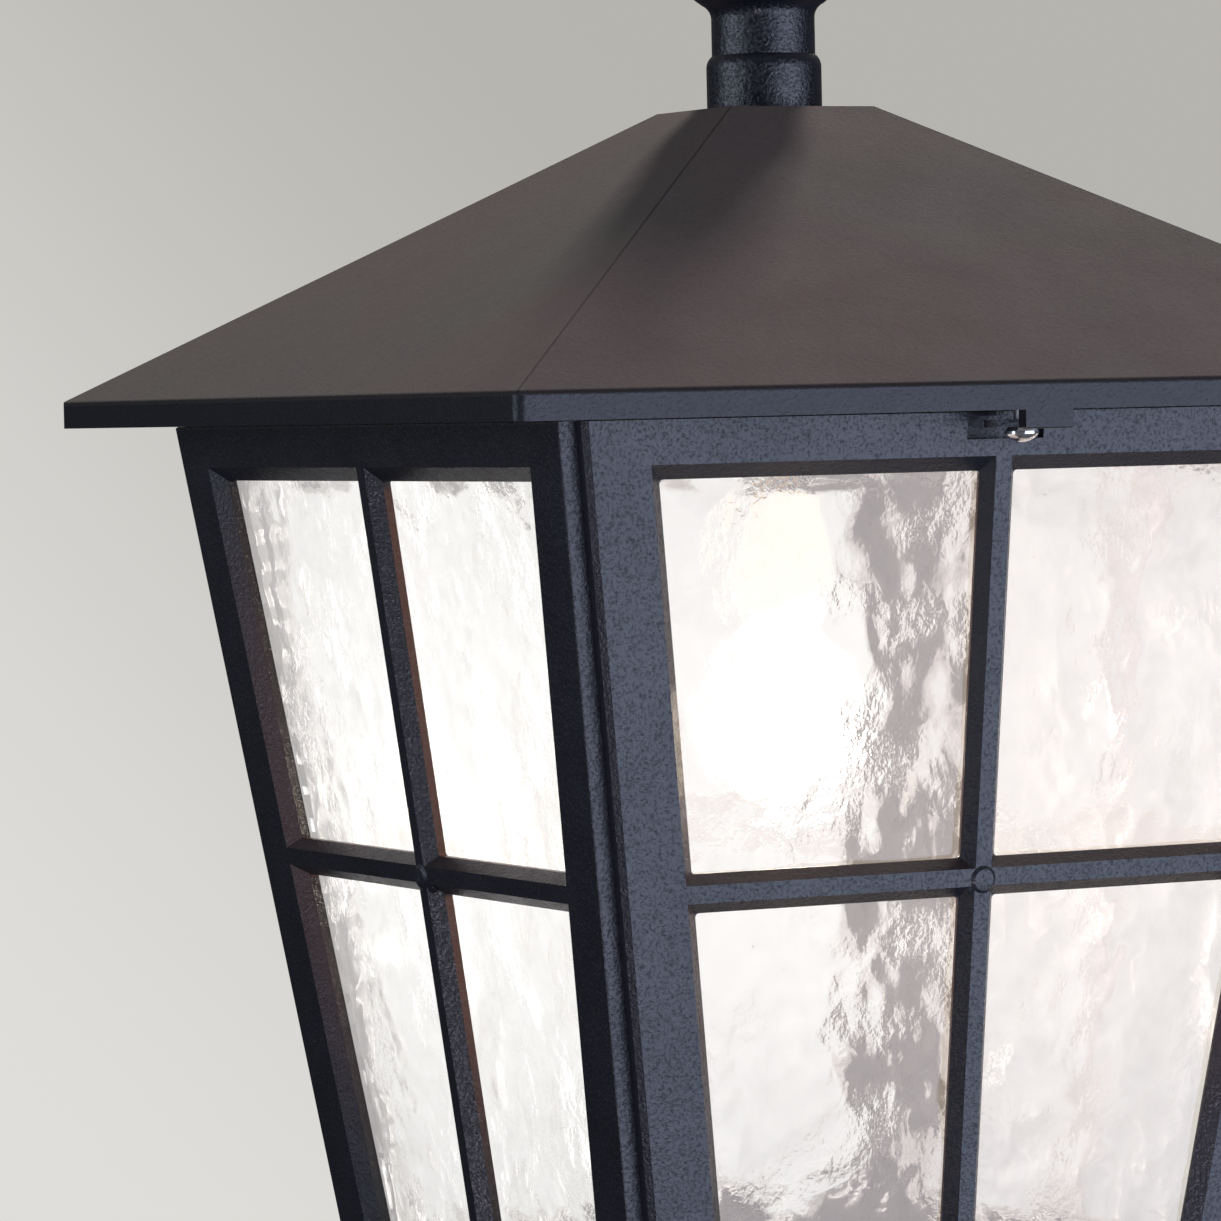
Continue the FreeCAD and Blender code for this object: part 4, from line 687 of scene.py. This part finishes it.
class LAMPPOST_OT_paint_lantern(bpy.types.Operator):
    """Paint the lantern's frames, corner angles, base and small castings"""
    bl_idname = "lamppost.paint_lantern"
    bl_label = "Paint the lantern"

    def execute(self, context):
        settings = context.scene.lamppost_paint
        low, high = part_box("bulb_glass")
        # The lamp centre gives the lantern paint its painted warm glow on the reveals.
        material = painted("Lantern paint", settings.lantern, settings, 0.34, 0.8, 0.00034, 0.03,
                           (low + high) / 2.0)
        names = ["frame_" + side for side in SIDES]
        names += ["corner_angle_%d" % (index + 1) for index in range(4)]
        names += ["base_frame", "floor_tray", "lamp_bridge", "roof_hinge_leaf", "body_hinge_leaf",
                  "catch_tongue"]
        dress(names, material)
        return {"FINISHED"}


class LAMPPOST_OT_paint_roof(bpy.types.Operator):
    """Paint the roof and enamel the reflector plate under it"""
    bl_idname = "lamppost.paint_roof"
    bl_label = "Paint the roof"

    def execute(self, context):
        dress(("roof",), roof_material(context.scene.lamppost_paint))
        dress(("roof_liner",), moulded_material("White enamel", (0.78, 0.77, 0.74), 0.3, 0.0015))
        return {"FINISHED"}


class LAMPPOST_OT_finish_finial(bpy.types.Operator):
    """Give the finial its gloss paint"""
    bl_idname = "lamppost.finish_finial"
    bl_label = "Finish the finial"

    def execute(self, context):
        settings = context.scene.lamppost_paint
        gloss = painted("Finial paint", settings.finial, settings, 0.20, 0.4, 0.00042, 0.02)
        dress(("finial_neck", "finial_ball"), gloss)
        return {"FINISHED"}


class LAMPPOST_OT_glaze(bpy.types.Operator):
    """Make the four rippled panes"""
    bl_idname = "lamppost.glaze"
    bl_label = "Glaze the lantern"

    def execute(self, context):
        settings = context.scene.lamppost_glass
        low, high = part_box("bulb_glass")
        for number, side in enumerate(SIDES):
            material = glass_material(settings, (low + high) / 2.0, side)
            pane = rippled_pane(side, 11.0 + 3.7 * number, settings, material)
            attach(pane, "post")
            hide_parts("pane_" + side)
        return {"FINISHED"}


class LAMPPOST_OT_light_lamp(bpy.types.Operator):
    """Light the lamp, finish its cap and give its holder a painted glow"""
    bl_idname = "lamppost.light_lamp"
    bl_label = "Light the lamp"

    def execute(self, context):
        dress(("bulb_glass",), lit_bulb_material(context.scene.lamppost_lamp))
        dress(("bulb_cap",), metal_material("Lamp cap", (0.72, 0.70, 0.66), (0.45, 0.43, 0.40), 0.3))
        holder = moulded_material("Glazed holder", (0.82, 0.80, 0.75), 0.22, 0.002)
        # The holder's emission is a painted glow standing in for the lamp light falling on it.
        shader = holder.node_tree.nodes["Principled BSDF"]
        shader.inputs["Emission Color"].default_value = opaque(context.scene.lamppost_lamp.holder_painted_glow)
        shader.inputs["Emission Strength"].default_value = 1.0
        dress(("lampholder",), holder)
        return {"FINISHED"}


class LAMPPOST_OT_finish_metalwork(bpy.types.Operator):
    """Finish the bolts, screws, pins, clips and brass pieces"""
    bl_idname = "lamppost.finish_metalwork"
    bl_label = "Finish the metalwork"

    def execute(self, context):
        zinc = metal_material("Zinc plated steel", (0.56, 0.57, 0.58), (0.36, 0.37, 0.38), 0.36)
        brass = metal_material("Brass", (0.72, 0.52, 0.25), (0.40, 0.29, 0.16), 0.3)
        chrome = metal_material("Polished knob", (0.82, 0.82, 0.84), (0.60, 0.61, 0.64), 0.14)
        dress(("column_bolts", "frog_bolts", "frog_set_screws", "corner_screws", "pane_clips",
               "finial_stud", "finial_nut", "roof_hinge_pin", "door_hinge_pins", "catch_spindle",
               "door_lock_cam"), zinc)
        dress(("door_lock_barrel", "earth_stud", "holder_nipple"), brass)
        dress(("catch_knob",), chrome)
        return {"FINISHED"}


class LAMPPOST_OT_finish_seals(bpy.types.Operator):
    """Finish the rubber seals, the grommet and the cable"""
    bl_idname = "lamppost.finish_seals"
    bl_label = "Finish seals and cable"

    def execute(self, context):
        rubber = moulded_material("Seal rubber", (0.018, 0.018, 0.019), 0.65, 0.0012)
        sheath = moulded_material("Cable sheath", (0.024, 0.024, 0.026), 0.5, 0.0009)
        seals = ["pane_seal_" + side for side in SIDES]
        dress(seals + ["roof_seal", "door_seal", "cable_grommet"], rubber)
        dress(("riser_cable",), sheath)
        return {"FINISHED"}


class LAMPPOST_OT_finish_equipment(bpy.types.Operator):
    """Finish the board, cut-out, lever, fuse carrier and glands in the pedestal"""
    bl_idname = "lamppost.finish_equipment"
    bl_label = "Finish the equipment"

    def execute(self, context):
        dress(("equipment_board",), board_material())
        dress(("cutout_base",), moulded_material("Grey moulding", (0.36, 0.37, 0.38), 0.45, 0.0011))
        dress(("isolator_lever",), moulded_material("Red moulding", (0.45, 0.025, 0.02), 0.25, 0.0011))
        black = moulded_material("Black moulding", (0.02, 0.02, 0.021), 0.4, 0.0011)
        dress(("fuse_carrier", "cable_glands"), black)
        return {"FINISHED"}


class LAMPPOST_OT_build_stage(bpy.types.Operator):
    """Set the camera, the pale floor, the backdrop and the studio lights"""
    bl_idname = "lamppost.build_stage"
    bl_label = "Build the stage"

    def execute(self, context):
        settings = context.scene.lamppost_stage
        context.scene.view_settings.view_transform = "Standard"
        forward, right = place_camera(context, settings)
        lay_floor(context, settings)
        hang_backdrop(context, settings, forward, right)
        lantern = (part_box("frame_front")[0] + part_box("frame_rear")[1]) / 2.0
        facing = math.atan2(-forward.x, forward.y)
        for name, power, degrees, distance, rise, size, colour in LIGHTS:
            softbox(context, name, lantern, facing + math.radians(degrees), distance, rise, size,
                    getattr(settings, power), colour)
        return {"FINISHED"}


# ---- stage ---------------------------------------------------------------------------
def place_camera(context, settings):
    """Camera that looks at the lantern from the front left. Returns its forward and right."""
    yaw, pitch, roll = settings.yaw, settings.pitch, settings.roll
    level_way = Vector((math.sin(yaw), math.cos(yaw), 0.0))
    forward = math.cos(pitch) * level_way - Vector((0.0, 0.0, math.sin(pitch)))
    level_right = Vector((math.cos(yaw), -math.sin(yaw), 0.0))
    level_up = level_right.cross(forward)
    right = math.cos(roll) * level_right + math.sin(roll) * level_up
    up = right.cross(forward)
    roof_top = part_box("roof")[1].z
    target = Vector((0, 0, roof_top - settings.aim_below_roof)) - settings.aim_left * level_right
    data = bpy.data.cameras.new("camera")
    data.lens = settings.lens
    data.sensor_width = 36.0
    camera = bpy.data.objects.new("camera", data)
    camera.matrix_world = Matrix((
        (right.x, up.x, -forward.x, 0.0), (right.y, up.y, -forward.y, 0.0),
        (right.z, up.z, -forward.z, 0.0), (0.0, 0.0, 0.0, 1.0)))
    camera.location = target - forward * settings.distance
    context.scene.collection.objects.link(camera)
    context.scene.camera = camera
    return forward, right


def lay_floor(context, settings):
    """Round pale floor that fades out far from the post."""
    level = cad_bounds[0].z - FLOOR_DROP
    points = [(0.0, 0.0, level)]
    for ring in FLOOR_RINGS:
        for index in range(FLOOR_SIDES):
            angle = 2.0 * math.pi * index / FLOOR_SIDES
            points.append((ring * settings.floor_radius * math.cos(angle),
                           ring * settings.floor_radius * math.sin(angle), level))
    faces = []
    for index in range(FLOOR_SIDES):
        after = (index + 1) % FLOOR_SIDES
        faces.append((0, 1 + index, 1 + after))
        faces.append((1 + index, 1 + FLOOR_SIDES + index, 1 + FLOOR_SIDES + after, 1 + after))
    mesh = bpy.data.meshes.new("floor")
    mesh.from_pydata(points, [], faces)
    floor = bpy.data.objects.new("floor", mesh)
    context.scene.collection.objects.link(floor)
    material, tree, shader = new_material("Pale floor", Roughness=0.7)
    seen = add(tree, "LightPath").outputs["Is Camera Ray"]
    shade = blend_colours(tree, seen, settings.floor_bounce, settings.floor)
    tree.links.new(shade, shader.inputs["Base Color"])
    place = add(tree, "TexCoord").outputs["Object"]
    length = add(tree, "VectorMath", {0: place}, operation="LENGTH").outputs["Value"]
    fade = spread(tree, length, 0.25 * settings.floor_radius, 0.95 * settings.floor_radius, 1.0, 0.0)
    smooth = maths(tree, "SMOOTH_MAX", fade, 0.0)
    tree.links.new(smooth, shader.inputs["Alpha"])
    mesh.materials.append(material)


def hang_backdrop(context, settings, forward, right):
    """Plain backdrop light: pale to the camera, brighter through glass, dim as a reflection."""
    world = bpy.data.worlds.new("studio")
    world.use_nodes = True
    context.scene.world = world
    tree = world.node_tree
    sky = tree.nodes["Background"]
    way = add(tree, "TexCoord").outputs["Generated"]
    slant = (right + Vector((0, 0, 0.9))).normalized()
    across = add(tree, "VectorMath", {0: way, 1: slant}, operation="DOT_PRODUCT").outputs["Value"]
    centre = forward.dot(slant)
    shade = add(tree, "MapRange", {0: across, 1: centre - 0.13, 2: centre + 0.065, 3: 0.0, 4: 1.0},
                interpolation_type="SMOOTHSTEP").outputs[0]
    backdrop = blend_colours(tree, shade, settings.backdrop_light, settings.backdrop_dark)
    lift = spread(tree, add(tree, "SeparateXYZ", {0: way}).outputs["Z"], -0.2, 1.0)
    room = blend_colours(tree, lift, (0.030, 0.030, 0.034), (0.22, 0.22, 0.23))
    waves = spread(tree, cloud(tree, way, BACKDROP_WAVE, 2.0), 0.35, 0.65)
    beyond = blend_colours(tree, waves, (0.06, 0.09, 0.10), (0.20, 0.24, 0.26))
    path = add(tree, "LightPath")
    clear = blend_colours(tree, path.outputs["Is Transmission Ray"], room, beyond)
    seen = blend_colours(tree, path.outputs["Is Camera Ray"], clear, backdrop)
    tree.links.new(seen, sky.inputs["Color"])


def softbox(context, name, target, azimuth, distance, rise, size, power, colour):
    """Rectangular studio light that faces the lantern. Azimuth 0 is in front of the post."""
    data = bpy.data.lights.new(name, "AREA")
    data.shape = "RECTANGLE"
    data.size, data.size_y = size
    data.energy = power
    data.color = colour
    light = bpy.data.objects.new(name, data)
    light.location = target + Vector((distance * math.sin(azimuth), -distance * math.cos(azimuth), rise))
    light.rotation_euler = (target - light.location).to_track_quat("-Z", "Y").to_euler()
    light.visible_camera = False
    light.visible_transmission = False
    context.scene.collection.objects.link(light)
    return light


# ---- panel and registration ----------------------------------------------------------
class LAMPPOST_PT_panel(bpy.types.Panel):
    """Buttons for every group of pieces"""
    bl_idname = "LAMPPOST_PT_panel"
    bl_label = "Lamp Post"
    bl_space_type = "VIEW_3D"
    bl_region_type = "UI"
    bl_category = "Lamp Post"

    def draw(self, context):
        for operator in OPERATORS:
            self.layout.operator(operator.bl_idname)


SETTINGS = (("lamppost_paint", PaintSettings), ("lamppost_glass", GlassSettings),
            ("lamppost_lamp", LampSettings), ("lamppost_stage", StageSettings))
OPERATORS = (
    LAMPPOST_OT_build_stage, LAMPPOST_OT_paint_post, LAMPPOST_OT_paint_lantern,
    LAMPPOST_OT_paint_roof, LAMPPOST_OT_finish_finial, LAMPPOST_OT_glaze, LAMPPOST_OT_light_lamp,
    LAMPPOST_OT_finish_metalwork, LAMPPOST_OT_finish_seals, LAMPPOST_OT_finish_equipment,
)


def register():
    for name, group in SETTINGS:
        bpy.utils.register_class(group)
        setattr(bpy.types.Scene, name, PointerProperty(type=group))
    for operator in OPERATORS:
        bpy.utils.register_class(operator)
    bpy.utils.register_class(LAMPPOST_PT_panel)


def unregister():
    bpy.utils.unregister_class(LAMPPOST_PT_panel)
    for operator in reversed(OPERATORS):
        bpy.utils.unregister_class(operator)
    for name, group in reversed(SETTINGS):
        delattr(bpy.types.Scene, name)
        bpy.utils.unregister_class(group)


def main():
    """Registers the add-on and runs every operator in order."""
    register()
    for operator in OPERATORS:
        section, name = operator.bl_idname.split(".")
        getattr(getattr(bpy.ops, section), name)()


if __name__ == "__main__":
    main()
